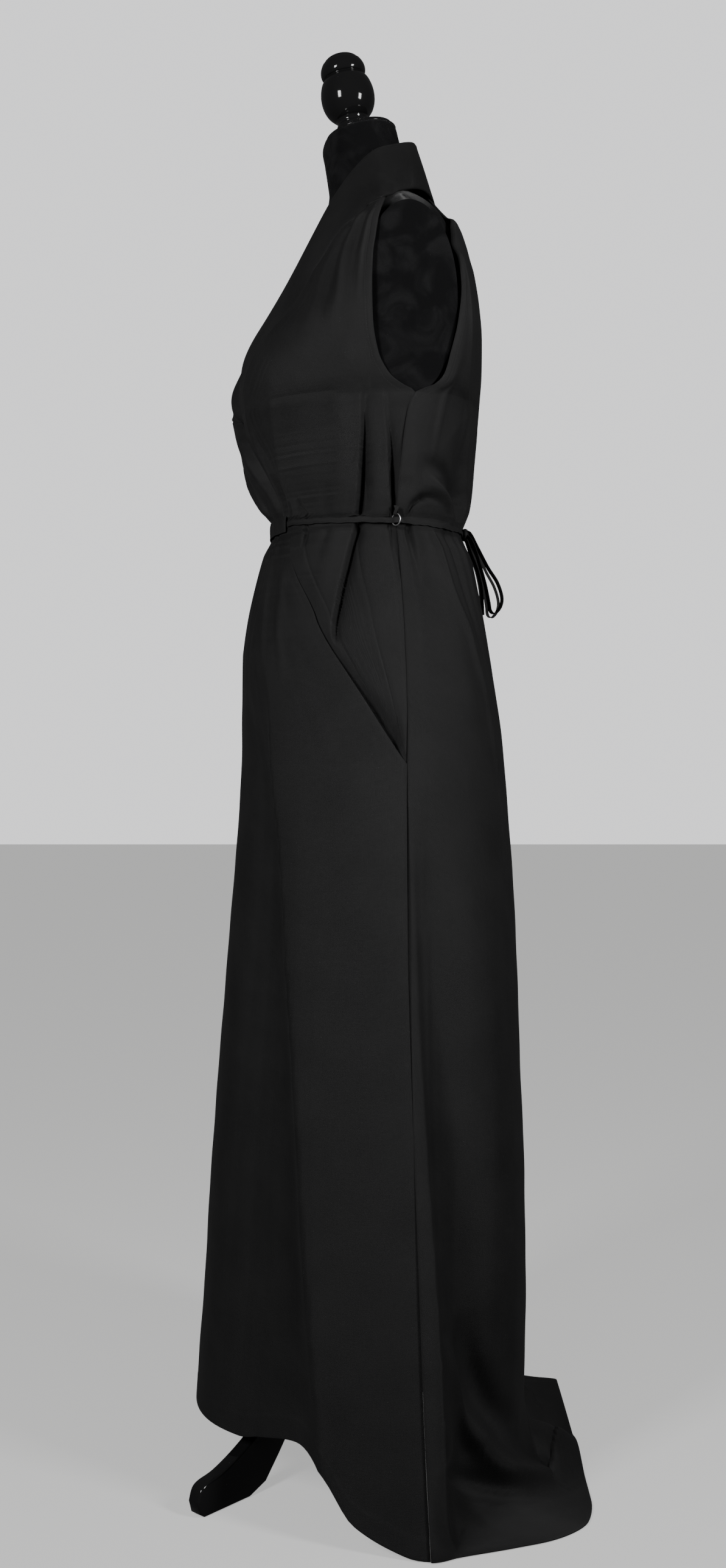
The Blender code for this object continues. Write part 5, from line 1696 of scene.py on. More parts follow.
@dataclass
class Fronts:
    """The two fronts, the near one lapping over the far one."""

    finishes: Finishes
    side_share: float = 0.5  # of the near front, from the side seam to the pocket's slant
    far_share: float = 0.45  # of the far front, likewise
    far_stretches: tuple[float, ...] = (0.1, 0.05, 0.4, 0.45)
    tuck: float = 8 / 11  # where the far front's inner edge lies across the near one
    columns: int = 136
    mouth_gape: float = 0.003

    @staticmethod
    def seam_inset(half: Half, z: Array) -> Array:
        """Turn that leaves a hair's gap beside the side seam."""
        return np.degrees(0.3 * GAP / curve(LEVELS, half.value + "_width").at(z))

    @staticmethod
    def near_edge(z: Array) -> Array:
        """Turn of the near front's inner edge."""
        seam, wrap = curve(COLLAR_SEAM, "turn").at(z), curve(WRAP_EDGE, "turn").at(z)
        return np.where(z > COLLAR_SEAM[0].z, seam, wrap)

    def near_turn(self, z: Array, u: Array) -> Array:
        """Turn of the near front, from the side seam to its inner edge.

        Args:
            z: Heights.
            u: Fractions across it.

        Returns:
            The turns.
        """
        first, edge = self.seam_inset(FRONT, z), self.near_edge(z)
        even = POCKET_TOP_TURN + (0.36 * edge - POCKET_TOP_TURN) * ease((z - 1.15) / 0.1)
        above = np.minimum(even, 0.6 * edge)
        below = np.maximum(curve(POCKET_SLANT, "turn").at(z), first)
        split = np.where(z > WAIST_Z + 1e-6, above, below)
        return spread((first, split, edge), (self.side_share, 1 - self.side_share), u)

    @staticmethod
    def far_offset(z: Array, turn: Array) -> Array:
        """The far front hangs full beside the wrap's edge and tucks in beneath it."""
        cap = 90.0 + 7.0 * (1 - ease((z - 1.118) / 0.012))
        edge = np.minimum(curve(WRAP_EDGE, "turn").at(z), cap)
        under = (1 - ease((turn - edge - 0.5) / 6.5)) * (1 - ease((z - 1.36) / 0.05))
        full = curve(FULLNESS, "out").at(z) * bump((turn - 97.0) / 24.0)
        return full * (1 - under) - (CLOTH + GAP + 0.0012) * under

    def far_turn(self, z: Array, u: Array) -> Array:
        """Turn of the far front, from its inner edge beneath the near one to its seam.

        Args:
            z: Heights.
            u: Fractions across it.

        Returns:
            The turns.
        """
        first = 180 - self.seam_inset(FRONT, z)
        edge = curve(WRAP_EDGE, "turn").at(z)
        tucked = self.near_turn(z, self.tuck + 0 * u)
        seam = 180 - curve(COLLAR_SEAM, "turn").at(z)
        above = ease((z - 1.25) / 0.026)
        start = tucked + (np.maximum(tucked, seam) - tucked) * above
        low = np.maximum(edge, start + 0.3)
        free = np.maximum(edge + 7, low + 0.4)
        slant = np.maximum(curve(POCKET_SLANT, "turn").at(z), 180 - first)
        even = 180 - POCKET_TOP_TURN
        even = even + (first + (start - first) * 0.36 - even) * ease((z - 1.15) / 0.1)
        split = np.where(z > WAIST_Z + 1e-6, even, 180 - slant)
        stops = spread((start, low, free, split, first), self.far_stretches, u)
        plain = spread((start, split, first), (1 - self.far_share, self.far_share), u)
        return stops + (plain - stops) * ease((z - COLLAR_SEAM[0].z) / 0.04)

    def near_place(self, v: Array, u: Array) -> Array:
        """The near front's outer face."""
        z = SHOULDER_Z * (1 - v)
        return Skin.dress(FRONT, z, self.near_turn(z, u))

    def far_place(self, v: Array, u: Array) -> Array:
        """The far front's outer face."""
        z = SHOULDER_Z * (1 - v)
        turn = self.far_turn(z, u)
        return Skin.dress(FRONT, z, turn, self.far_offset(z, turn))

    def build(self) -> list[Piece]:
        """Build both fronts.

        Returns:
            The near front and the far one.
        """
        rows = rows_between((SHOULDER_Z, 60), (UNDERARM_Z, 46), *SKIRT_ROWS)
        made = []
        for name, place, share, far in (
            ("front_left", self.near_place, self.side_share, False),
            ("front_right", self.far_place, self.far_share, True),
        ):
            cut = Cut.lay(place, rows, fractions(self.columns))
            z = SHOULDER_Z * (1 - cut.v)
            u = 1 - cut.u if far else cut.u
            cut.lift(self.relief(cut, z, u, share, far))
            in_pocket = (u[:-1, :-1] + u[:-1, 1:]) / 2 < share
            keep = ~(in_pocket & (z[:-1, :-1] < WAIST_Z + 1e-4))
            made.append(panel(name, cut, self.finishes.crepe, keep=keep))
        return made

    def relief(self, cut: Cut, z: Array, u: Array, share: float, far: bool) -> Array:
        """Seams, hems and the pocket's mouth, as heights above the skin.

        Args:
            cut: The panel.
            z: Height of each place.
            u: Its fraction across, from the side seam or the armhole.
            share: How much of u lies between the side seam and the pocket's slant.
            far: Whether it is the far front.

        Returns:
            How far each place stands out.
        """
        side, inner = cut.across, cut.from_last_column()
        if far:
            side, inner = inner, side
        armhole = z > UNDERARM_Z - 0.0125
        from_hole, _ = cut.from_line(own_edge(cut, -1 if far else 0, z))
        height = hem_height(from_hole) * armhole
        below = ease((UNDERARM_Z - z) / 0.004)
        height = height - SEAM_DIP * bump(side / SEAM_ROLL) * below
        height = height - SEAM_DIP * bump(inner / SEAM_ROLL) * ease((z - SHOULDER_SEAM_Z) / 0.03)
        from_mouth = np.abs(u - share) * cut.across[:, -1:]
        in_slant = ease((1.095 - z) / 0.02) * ease((z - POCKET_BOTTOM_Z - 0.002) / 0.02)
        middle = bump((z - 0.925) / 0.045)
        height = height + in_slant * self.mouth_gape * middle * bump(from_mouth / 0.016)
        height = height - 0.0004 * in_slant * bump((from_mouth - 0.0065) / 0.0011)
        low = cut.from_last_row()
        return height + 0.0003 * (1 - ease((low - 0.024) / 0.002))


def own_edge(cut: Cut, column: int, z: Array) -> Array:
    """The armhole's edge on a panel: one column, down to the underarm."""
    return cut.points[:, column][z[:, column] >= UNDERARM_Z - 1e-4]


def hem_height(distance: Array) -> Array:
    """A turned hem beside an edge: doubled cloth, then the stitched groove."""
    band = 0.00045 * (1 - ease((distance - HEM_WIDTH) / 0.0016))
    groove = 0.0005 * bump((distance - HEM_WIDTH + GROOVE_IN) / 0.0009)
    roll = 0.0006 * bump(distance / 0.0012)
    return band - groove - roll


# ---- the back


@dataclass
class Back:
    """The back, in one piece, with a racer top and a short train."""

    finishes: Finishes
    columns: int = 136
    side_crowding: float = 0.28

    def turn(self, z: Array, u: Array) -> Array:
        """Turn across the back, from the right seam to the left, closer at the sides."""
        first = Fronts.seam_inset(BACK, z)
        way = 2 * u - 1
        way = way * (1 + self.side_crowding * (1 - way * way))
        return 90 - (90 - first) * way

    def place(self, v: Array, u: Array) -> Array:
        """The back's outer face."""
        z = RACER_Z * (1 - v)
        return Skin.dress(BACK, z, self.turn(z, u))

    def build(self) -> Piece:
        """Build the back.

        Returns:
            The panel.
        """
        rows = rows_between((RACER_Z, 64), (UNDERARM_Z, 46), *SKIRT_ROWS)
        cut = Cut.lay(self.place, rows, fractions(self.columns))
        z = RACER_Z * (1 - cut.v)
        cut.lift(self.relief(cut, z))
        cut.points[..., 2] = np.maximum(cut.points[..., 2], SHELL + 0.0004)
        return panel("back", cut, self.finishes.crepe)

    def relief(self, cut: Cut, z: Array) -> Array:
        """Seams, the armhole hems and the train's creases.

        Args:
            cut: The panel.
            z: Height of each place.

        Returns:
            How far each place stands out.
        """
        height = np.zeros_like(z)
        below = ease((UNDERARM_Z - z) / 0.004)
        for column, side in ((0, cut.across), (-1, cut.from_last_column())):
            hole, _ = cut.from_line(own_edge(cut, column, z))
            height = height + hem_height(hole) * (z > UNDERARM_Z - 0.0125)
            height = height - SEAM_DIP * bump(side / SEAM_ROLL) * below
        low = cut.from_last_row()
        return height + 0.0003 * (1 - ease((low - 0.024) / 0.002)) - self.train(cut)

    @staticmethod
    def train(cut: Cut) -> Array:
        """How far the folds of the train draw it in, alike on both sides.

        Args:
            cut: The panel.

        Returns:
            The depths.
        """
        depth = np.zeros(cut.u.shape)
        for crease in TRAIN_FOLDS:
            track = path(crease.knots, fractions(160))
            line = Skin.dress(BACK, track[:, 0], track[:, 1])
            for side in (1, -1):
                gap, nearest = cut.from_line(line * (side, 1, 1))
                strength = np.clip(track[nearest, 2], 0.0, 1.0)
                depth = depth + crease.depth * strength * crease.shape(gap / crease.width)
        return depth


# ---- pockets


@dataclass
class Pockets:
    """The pocket piece behind each slanted mouth."""

    finishes: Finishes
    columns: int = 96
    sag: float = 0.0075

    def place(self, v: Array, u: Array) -> Array:
        """The left pocket piece's outer face.

        Args:
            v: Fractions along it.
            u: Fractions across it.

        Returns:
            The places.
        """
        top, bottom = WAIST_Z - GAP - 0.0002, 0.844
        z = top - (top - bottom) * v
        first = Fronts.seam_inset(FRONT, z)
        slant = np.maximum(curve(POCKET_SLANT, "turn").at(z), first + 0.5)
        turn = spread((first, slant, slant + POCKET_UNDER), (0.9, 0.1), u)
        share = np.minimum(1.0, np.maximum(turn / slant, 1 - slant / 10))
        under = ease((turn - slant) / POCKET_UNDER)
        sag = self.sag * bump((z - 0.895) / 0.045) * bump((turn - slant) / 5.0)
        sag = sag + 0.3 * self.sag * bump((turn - slant) / 3.0) * ease((1.08 - z) / 0.1)
        sag = sag * ease((z - POCKET_BOTTOM_Z) / 0.02) * ease(turn / 3.0)
        flush = ease((z - 1.07) / 0.025)
        depth = POCKET_DEPTH * (share + (0.08 * share + 0.92 * under - share) * flush)
        return Skin.dress(FRONT, z, turn, -depth - 0.0012 * under - sag)

    def build(self) -> list[Piece]:
        """Build both pocket pieces."""
        cut = Cut.lay(self.place, fractions(80), fractions(self.columns))
        cut.lift(-SEAM_DIP * bump(cut.across / SEAM_ROLL))
        left = panel("pocket_left", cut, self.finishes.crepe)
        return [left, mirrored(left, "pocket_right", self.finishes.crepe)]


# ---- collar


@dataclass
class Collar:
    """The collar and its lapels, in two halves joined at the centre back."""

    finishes: Finishes
    sewn_rows: int = 84
    free_rows: int = 40
    columns: int = 26
    easing: int = 24
    near_bow: float = 0.0046  # the near lapel's hollow, at near_bow_z
    near_bow_z: float = 1.315
    far_bow: float = 0.018  # the far lapel's swell, at far_bow_z
    far_bow_z: float = 1.318
    under_z: float = 1.365  # the far half runs in under the near one below this
    under_in: float = 0.0055
    under_flatter: float = 0.003
    free_z: float = 1.49  # the seam's end, where the collar starts to run free

    def seam(self, z: Array, far: bool) -> tuple[Array, Array]:
        """The collar's end of its seam.

        Args:
            z: Heights on the seam.
            far: Whether it is the half that tucks under.

        Returns:
            The places, built on the wearer's left, and the cloth's normals there.
        """
        step = 0.0008
        z = np.clip(z, UNDERARM_Z + step, SHOULDER_Z - step)

        def on_seam(height: Array, across: float = 0.0) -> Array:
            """The seam's place at a height, or some degrees across from it."""
            turn = curve(COLLAR_SEAM, "turn").at(height) + across
            out = Fronts.far_offset(height, 180 - turn) if far else 0.0 * turn
            point = Skin.dress(FRONT, height, 180 - turn if far else turn, out)
            return point * ((-1, 1, 1) if far else (1, 1, 1))

        along = unit(on_seam(z + step) - on_seam(z - step))
        across = on_seam(z, 0.4) - on_seam(z, -0.4)
        turn = curve(COLLAR_SEAM, "turn").at(z)
        up = Skin.dress(FRONT, z + step, turn) - Skin.dress(FRONT, z - step, turn)
        normal = unit(np.cross(across, up))
        normal = np.where(normal[..., 1:2] > 0, -normal, normal)
        aside = unit(np.cross(normal, along))
        back_to_front = np.sum(aside * (across + up), -1, keepdims=True) < 0
        aside = np.where(back_to_front, -aside, aside)
        apart = np.where(z > self.free_z, 4.0, 2.0 if far else 0.7)[..., None]
        return on_seam(z) + aside * apart * GAP, normal

    def grid(self, far: bool) -> tuple[Array, Array]:
        """Places and outward normals of one half, built on the wearer's left.

        Args:
            far: Whether it is the far half.

        Returns:
            The places, and a normal for each line across.
        """
        sewn = np.linspace(UNDERARM_Z, SHOULDER_Z, self.sewn_rows + 1)
        start, normal = self.seam(sewn, far)
        end = np.stack([curve(SEWN_COLLAR, axis).at(sewn) for axis in "xyz"], -1)
        bow = curve(SEWN_COLLAR, "bow").at(sewn)
        if far:
            under = 1 - ease((end[:, 2] - self.under_z) / 0.03)
            end[:, 1] += self.under_in * under * ease((end[:, 2] - 1.262) / 0.03)
            bow = bow - self.under_flatter * under
        else:
            end[:, 1] += self.near_bow * bump((end[:, 2] - self.near_bow_z) / 0.036)
        free_start = np.array([(row.low_x, row.low_y, row.low_z) for row in FREE_COLLAR])
        free_end = np.array([(row.x, row.y, row.z) for row in FREE_COLLAR])
        free_bow = np.array([row.bow for row in FREE_COLLAR])
        out = unit(free_start + free_end - (0, 0.05, 2.9))
        free_start[-1, 0] = free_end[-1, 0] = 0.0
        along = fractions(self.free_rows)[1:]
        later = (1 + along * len(FREE_COLLAR)) / (1 + len(FREE_COLLAR))
        starts, ends, outs = (
            path(np.vstack((sewn_part[[-6, -1]], free_part)), later)
            for sewn_part, free_part in ((start, free_start), (end, free_end), (normal, out))
        )
        bows = path([(b, 0, 0) for b in (bow[-6], bow[-1], *free_bow)], later)
        start, end = np.vstack((start, starts)), np.vstack((end, ends))
        normal = np.vstack((normal, unit(outs)))
        bow = np.concatenate((bow, bows[:, 0]))
        u = fractions(self.columns)[None, :, None]
        arch = 4 * u * (1 - u) * bow[:, None, None]
        points = start[:, None] * (1 - u) + end[:, None] * u + normal[:, None] * arch
        if far:
            swell = self.far_bow * bump((points[..., 2] - self.far_bow_z) / 0.03)
            points[..., 1] -= swell * (4 * u * (1 - u))[..., 0]
        for _ in range(self.easing):
            eased = (points[:-2] + points[2:]) / 2
            points[1:-1] += (eased - points[1:-1]) * 0.5 * ease(u * 3)
        return points, normal

    def build_half(self, name: str, far: bool) -> Piece:
        """Build one half of the collar.

        Args:
            name: The node that it stands for.
            far: Whether it is the far half.

        Returns:
            The piece.
        """
        points, hint = self.grid(far)
        count = points.shape[0] - 1

        def place(v: Array, u: Array) -> Array:
            """The half's outer face, read from its grid."""
            rows, columns = np.rint(v * count).astype(int), np.rint(u * self.columns).astype(int)
            return points[rows, columns]

        cut = Cut.lay(place, fractions(count), fractions(self.columns))
        inward = float(np.sum(cut.normals[20, 8] * hint[20])) < 0
        if inward:
            cut.normals = -cut.normals
        seam, edge = cut.across, cut.from_last_column()
        sewn = (cut.v < self.sewn_rows / count) * ease((cut.points[..., 2] - SHOULDER_SEAM_Z) / 0.03)
        height = -SEAM_DIP * bump(seam / SEAM_ROLL) * sewn
        height = height + 0.0004 * bump((edge - 0.003) / 0.0022) - 0.0005 * bump(edge / 0.0012)
        height = height - 0.0011 * self.crease(cut)
        cut.lift(height)
        if far:
            cut.points = cut.points * (-1, 1, 1)
        return panel(name, cut, self.finishes.crepe, BAND, 0.0007, flip=inward != far)

    @staticmethod
    def crease(cut: Cut) -> Array:
        """The soft diagonal crease where the collar turns behind the shoulder."""
        x, y, z = np.abs(cut.points[..., 0]), cut.points[..., 1], cut.points[..., 2]
        along = (y - 0.03) * 0.83 - (z - 1.545) * 0.55
        away = (y - 0.03) * 0.55 + (z - 1.545) * 0.83
        return bump(away / 0.0065) * bump(along / 0.02) * ease(x / 0.03)

    def build(self) -> list[Piece]:
        """Build both halves."""
        return [self.build_half("collar_left", False), self.build_half("collar_right", True)]


# ---- belt


def strap_section(u: Array, wide: Array | float, thick: float) -> tuple[Array, Array]:
    """Offsets across and out of a flat strap with rounded edges, once round it by u."""
    across, out = squared(2 * np.pi * u, STRAP_SQUARE)
    return across * wide / 2, out * thick / 2


@dataclass
class WaistTie:
    """The tab on the front and the tie from each of its ends to the back."""

    finishes: Finishes
    out: float = CLOTH + GAP + 0.0011
    ring_lift: ClassVar[float] = 0.0034  # how far the tie lifts where it runs through a ring

    @staticmethod
    def way_out(turn: Array) -> Array:
        """Level direction straight out of the cloth behind the tie."""
        near = np.clip(np.abs(turn), 1.0, 90.0)
        front, back = (Skin.outward(half, WAIST_Z + 0 * near, near) for half in Half)
        return np.where((turn < 0)[..., None], front, back)

    @classmethod
    def tie_point(cls, turn: Array, across: Array, out: Array | float) -> Array:
        """A place on the tie.

        Args:
            turn: Its turn, from -90 at the front to 90 at the back.
            across: How far it lies above the tie's middle line.
            out: How far it stands out of the cloth.

        Returns:
            The place.
        """
        near = np.clip(np.abs(turn), 0.0, 90.0)
        front, back = (
            Skin.plain(half, Skin.waist_height(half, near) + across, near) for half in Half)
        behind = np.where((turn < 0)[..., None], front, back)
        lift = cls.ring_lift * bump(turn / 9.0)
        return behind + cls.way_out(turn) * np.asarray(out + lift)[..., None]

    def tab_place(self, v: Array, u: Array) -> Array:
        """The tab's outer face, drawn in a little where the cloth gathers behind it."""
        turn = 90 + (u * 2 - 1) * (90 - TAB_TURN)
        z = Skin.waist_height(FRONT, turn) + (0.5 - v) * TAB_HEIGHT
        sag = 0.0009 * np.sin(turn * 0.55) * np.sin(np.pi * v)
        return Skin.plain(FRONT, z, turn) + Skin.outward(FRONT, z, turn) * (
            self.out + sag)[..., None]

    def tie_place(self, v: Array, u: Array) -> Array:
        """The left tie, as a closed strap from its back end to the tab.

        Args:
            v: Fractions along it.
            u: Fractions across it.

        Returns:
            The places.
        """
        turn = TIE_END_TURN - (TIE_END_TURN + TAB_TURN - 0.4) * v
        pinch = 1 - 0.42 * bump((turn - 74.0) / 9.0)
        across, out = strap_section(u, TIE_WIDTH * pinch, TIE_THICK)
        groove = 0.00022 * bump((np.abs(across) - 0.0024) / 0.00035) * (out > 0)
        wave = 0.0004 * np.sin(turn * 0.33) + 0.0003 * np.sin(turn * 0.81)
        base = self.tie_point(turn, across + wave, GAP + 0.0008 + TIE_THICK / 2)
        return base + self.way_out(turn) * (out - groove)[..., None]

    def build(self) -> list[Piece]:
        """Build the tab and both ties.

        Returns:
            The tab and the two ties.
        """
        cut = Cut.lay(self.tab_place, fractions(18), fractions(150))
        rim = np.minimum(cut.down, cut.from_last_row())
        cut.lift(0.0003 - 0.0007 * bump(rim / 0.0011) - 0.0003 * bump((rim - 0.0024) / 0.0007))
        tab = panel("waist_tab", cut, self.finishes.crepe, 0.0013, 0.0005)
        left = strap("tie_left", self.tie_place, 420, 24, self.finishes.crepe)
        return [tab, left, mirrored(left, "tie_right", self.finishes.crepe)]

    def stitch_lines(self) -> list[Array]:
        """The line of stitches along each edge of the tie, left and right."""
        turn = np.linspace(-TAB_TURN + 1.0, TIE_END_TURN - 22.0, 200)
        line = self.tie_point(turn, 0 * turn - 0.0023, GAP + 0.0008 + TIE_THICK)
        return [line, line * (-1, 1, 1)]


@dataclass
class RingLoops:
    """A ring round the tie at each side seam, and the loop of cloth that holds it."""

    finishes: Finishes

    @staticmethod
    def centre() -> Vector:
        """The left ring's centre, from the pole line."""
        height = float(Skin.waist_height(BACK, np.array(0.0)))
        seam = Skin.plain(FRONT, np.array(height), np.array(0.0))
        return Vector((float(seam[0]) + RING_LIFT, float(seam[1]), height))

    def ring(self) -> Piece:
        """The left ring, spun from its round wire.

        Returns:
            The piece.
        """
        bm = bmesh.new()
        wire = bmesh.ops.create_circle(bm, segments=16, radius=RING_WIRE)["verts"]
        stand = Matrix.Translation((RING_RADIUS, 0, 0)) @ Matrix.Rotation(math.pi / 2, 4, "X")
        bmesh.ops.transform(bm, matrix=stand, verts=wire)
        plane = Matrix.Rotation(RING_YAW, 4, "Z") @ Matrix.Rotation(math.pi / 2, 4, "X")
        spin(bm, 64, Matrix.Translation(self.centre() + Vector((0, AXIS_Y, 0))) @ plane)
        return new_piece("belt_ring_left", bm, self.finishes.silver)

    def tab_place(self, v: Array, u: Array) -> Array:
        """The loop of cloth round the top of the left ring's wire, as a closed strap.

        Args:
            v: Fractions along it.
            u: Fractions across it.

        Returns:
            The places.
        """
        centre = self.centre()
        top = centre + Vector((0, 0, RING_RADIUS))
        wire = Vector((math.cos(RING_YAW), math.sin(RING_YAW), 0))
        aside = Vector((-wire.y, wire.x, 0))
        seam = Skin.plain(FRONT, np.array(top.z + 0.01), np.array(0.0))
        anchor = Vector(seam) + Vector((0.0021, 0.0, 0.0))
        turns = [math.radians(a) for a in (-10, 35, 90, 145, 190)]
        around = [
            top + (aside * math.cos(a) - Vector((0, 0, 1)) * math.sin(a)) * (
                RING_WIRE + GAP + 0.0012)
            for a in turns
        ]
        points = [anchor + Vector((0.001, -0.0014, 0)), *around,
                  anchor + Vector((0.001, 0.0014, -0.001))]
        along = path(points, v)
        ahead = heading(points, v)
        away = ease(np.minimum(v, 1 - v) * 4)[..., None]
        way = unit(np.array((0.0, 1.0, 0.0)) * (1 - away) + np.array(wire) * away)
        out_way = unit(np.cross(ahead, way))
        across, out = strap_section(u, 0.0042, 0.0009)
        return along + way * across[..., None] + out_way * out[..., None]

    def build(self) -> list[Piece]:
        """Build both rings and both loops."""
        ring = self.ring()
        loop = strap("ring_tab_left", self.tab_place, 72, 20, self.finishes.crepe)
        return [ring, mirrored(ring, "belt_ring_right", self.finishes.silver), loop,
                mirrored(loop, "ring_tab_right", self.finishes.crepe)]


@dataclass
class Bow:
    """The knot at the centre back, its two loops and the two loose ends."""

    finishes: Finishes
    knot_size: tuple[float, float, float] = (0.0092, 0.0056, 0.008)

    @staticmethod
    def ribbon(points: Sequence[Strand], curl: float) -> Place:
        """A strap of tie along a line, with its width turned a little from side to side.

        Args:
            points: The line.
            curl: How far its edges curl.

        Returns:
            The strap's surface.
        """

        def place(v: Array, u: Array) -> Array:
            """The strap's face.

            Args:
                v: Fractions along it.
                u: Fractions once round it.

            Returns:
                The places.
            """
            middle = path(points, v)
            ahead = heading(points, v)
            wide = np.array(RIBBON_WAY) + 0 * ahead
            wide = unit(wide - ahead * np.sum(wide * ahead, -1, keepdims=True))
            out_way = unit(np.cross(ahead, wide))
            across, out = strap_section(u, TIE_WIDTH * 0.8, TIE_THICK)
            cup = curl * (across / (TIE_WIDTH * 0.4)) ** 2
            return middle + wide * across[..., None] + out_way * (out + cup)[..., None]

        return place

    def knot(self) -> Piece:
        """The knot: a squashed ball of cloth with a band wrapped round its middle.

        Returns:
            The piece.
        """
        bm = bmesh.new()
        bmesh.ops.create_uvsphere(bm, u_segments=64, v_segments=40, radius=1.0)
        bm.loops.layers.uv.new("cloth")
        for vert in bm.verts:
            x, y, z = vert.co
            band = math.exp(-((x / 0.45) ** 4))
            fold = 0.05 * math.sin(7.0 * z + 2.5 * x) + 0.04 * math.sin(11.0 * z - 4.0 * x)
            swell = 1 - 0.2 * (1 - band) + fold * (1 - 0.4 * band)
            vert.co = Vector((x, y * swell, z * swell))
        behind = Vector(Skin.plain(BACK, Skin.waist_height(BACK, np.array(90.0)), np.array(90.0)))
        place = Matrix.Translation(behind + Vector((0, 0.0053 + AXIS_Y, 0.001)))
        bmesh.ops.transform(bm, matrix=place @ Matrix.Diagonal((*self.knot_size, 1)),
                            verts=bm.verts)
        layer = bm.loops.layers.uv["cloth"]
        for face in bm.faces:
            for loop in face.loops:
                loop[layer].uv = (loop.vert.co.x, loop.vert.co.z)
        return new_piece("tie_knot", bm, self.finishes.crepe)

    def build(self) -> list[Piece]:
        """Build the knot, the loops and the loose ends."""
        crepe = self.finishes.crepe
        loop = strap("bow_loop_left", self.ribbon(LOOP_PATH, 0.0), 200, 20, crepe)
        end = strap("tie_end_left", self.ribbon(END_PATH, 0.0003), 90, 20, crepe)
        return [self.knot(), loop, mirrored(loop, "bow_loop_right", crepe), end,
                mirrored(end, "tie_end_right", crepe)]


# ---- form and stand


@dataclass
class DressForm:
    """The padded torso with its bare neck, and the cap on each arm side."""

    finishes: Finishes
    seam_depth: float = 0.0008
    seam_width: float = 0.0012
    neck_round: float = 1.6
    cap_foot: float = 1.6335

    def torso_place(self, v: Array, u: Array) -> Array:
        """The torso's face: up it by v and once round it by u."""
        return self.form_place(spread((FORM_LEVELS[0].z, self.neck_round, self.cap_foot),
                                      (3, 1), v), u)

    def cap_place(self, v: Array, u: Array) -> Array:
        """The neck's wooden cap: up it by v and once round it by u."""
        top = FORM_LEVELS[-1].z
        place = self.form_place(self.cap_foot + (top - self.cap_foot) * v, u)
        rim = 1 + 0.028 * bump((v - 0.1) / 0.09) - 0.02 * bump(v / 0.04)
        return place * np.stack((rim, rim, np.ones_like(rim)), -1)

    @staticmethod
    def form_place(z: Array, u: Array) -> Array:
        """The form's face at a level and a share of the way round.

        Args:
            z: Heights.
            u: Fractions across it.

        Returns:
            The places.
        """
        values = {name: curve(FORM_LEVELS, name).at(z) for name in FormLevel._fields[1:]}
        angle = 2 * np.pi * u
        points = []
        for half, sign in (("front", -1), ("back", 1)):
            square = values[half + "_power"]
            side, depth = values[half + "_side"], sign * values[half]
            across, along = squared(angle, 2 / square)
            x, y = values["width"] * across, side + (depth - side) * np.abs(along)
            points.append(np.stack((x, y, z + values["lean"] * y), -1))
        return np.where((np.sin(angle) > 0)[..., None], points[0], points[1])

    def torso(self) -> Piece:
        """The torso, with its cover's seams sunk in.

        Returns:
            The piece.
        """
        cut = Cut.lay(self.torso_place, fractions(300), fractions(192))
        turn = cut.u * 360
        radius = cut.across[:, -1:] / 360
        groove = np.zeros_like(turn)
        fade = 1 - ease((cut.points[..., 2:3] - 1.5) / 0.06)
        for seam in (0.0, 62.0, 90.0, 118.0, 180.0, 242.0, 270.0, 298.0, 360.0):
            groove = groove + bump((turn - seam) * radius / self.seam_width)
        middle = cut.points.mean(axis=1, keepdims=True)
        outward = np.sum(cut.normals * (cut.points - middle), -1, keepdims=True) > 0
        normals = np.where(outward, cut.normals, -cut.normals)
        cut.points = cut.points - normals * self.seam_depth * groove[..., None] * fade
        return new_piece("torso", tube(cut), self.finishes.velvet)

    def cap(self) -> Piece:
        """The lacquered cap on the neck, which the finial is screwed to."""
        cut = Cut.lay(self.cap_place, fractions(24), fractions(128))
        made = new_object("neck_cap", tube(cut), self.finishes.lacquer)
        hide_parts("torso")
        return made

    def plate(self) -> Piece:
        """The left cap: a padded oval with a rounded rim and its cover's seam.

        Returns:
            The piece.
        """
        bm = bmesh.new()
        bmesh.ops.create_uvsphere(bm, u_segments=96, v_segments=48, radius=1.0)
        for vert in bm.verts:
            x, y, h = vert.co
            flat = math.hypot(x, y)
            rim = flat ** 0.55 / flat if flat > 1e-6 else 1.0
            x, y = x * rim, y * rim
            deep = math.copysign(abs(h) ** 0.62, h) * 0.5 + 0.5
            z = PLATE_CENTRE_Z + PLATE_HALF_HEIGHT * y
            side = PLATE_CENTRE_Y + PLATE_HALF_WIDTH * x
            foot = PLATE_FOOT_X - PLATE_THICK + (z - PLATE_FOOT_Z) * PLATE_SPLAY
            dent = 0.0005 * float(bump((side - 0.0245) / 0.0011)) * (h > 0)
            vert.co = Vector((foot + deep * (PLATE_THICK + 0.0006) - dent, side + AXIS_Y, z))
        bmesh.ops.recalc_face_normals(bm, faces=bm.faces)
        return new_piece("arm_plate_left", bm, self.finishes.velvet)

    def build(self) -> list[Piece]:
        """Build the torso and both caps."""
        plate = self.plate()
        body = [self.torso(), self.cap()]
        return [*body, plate, mirrored(plate, "arm_plate_right", self.finishes.velvet)]


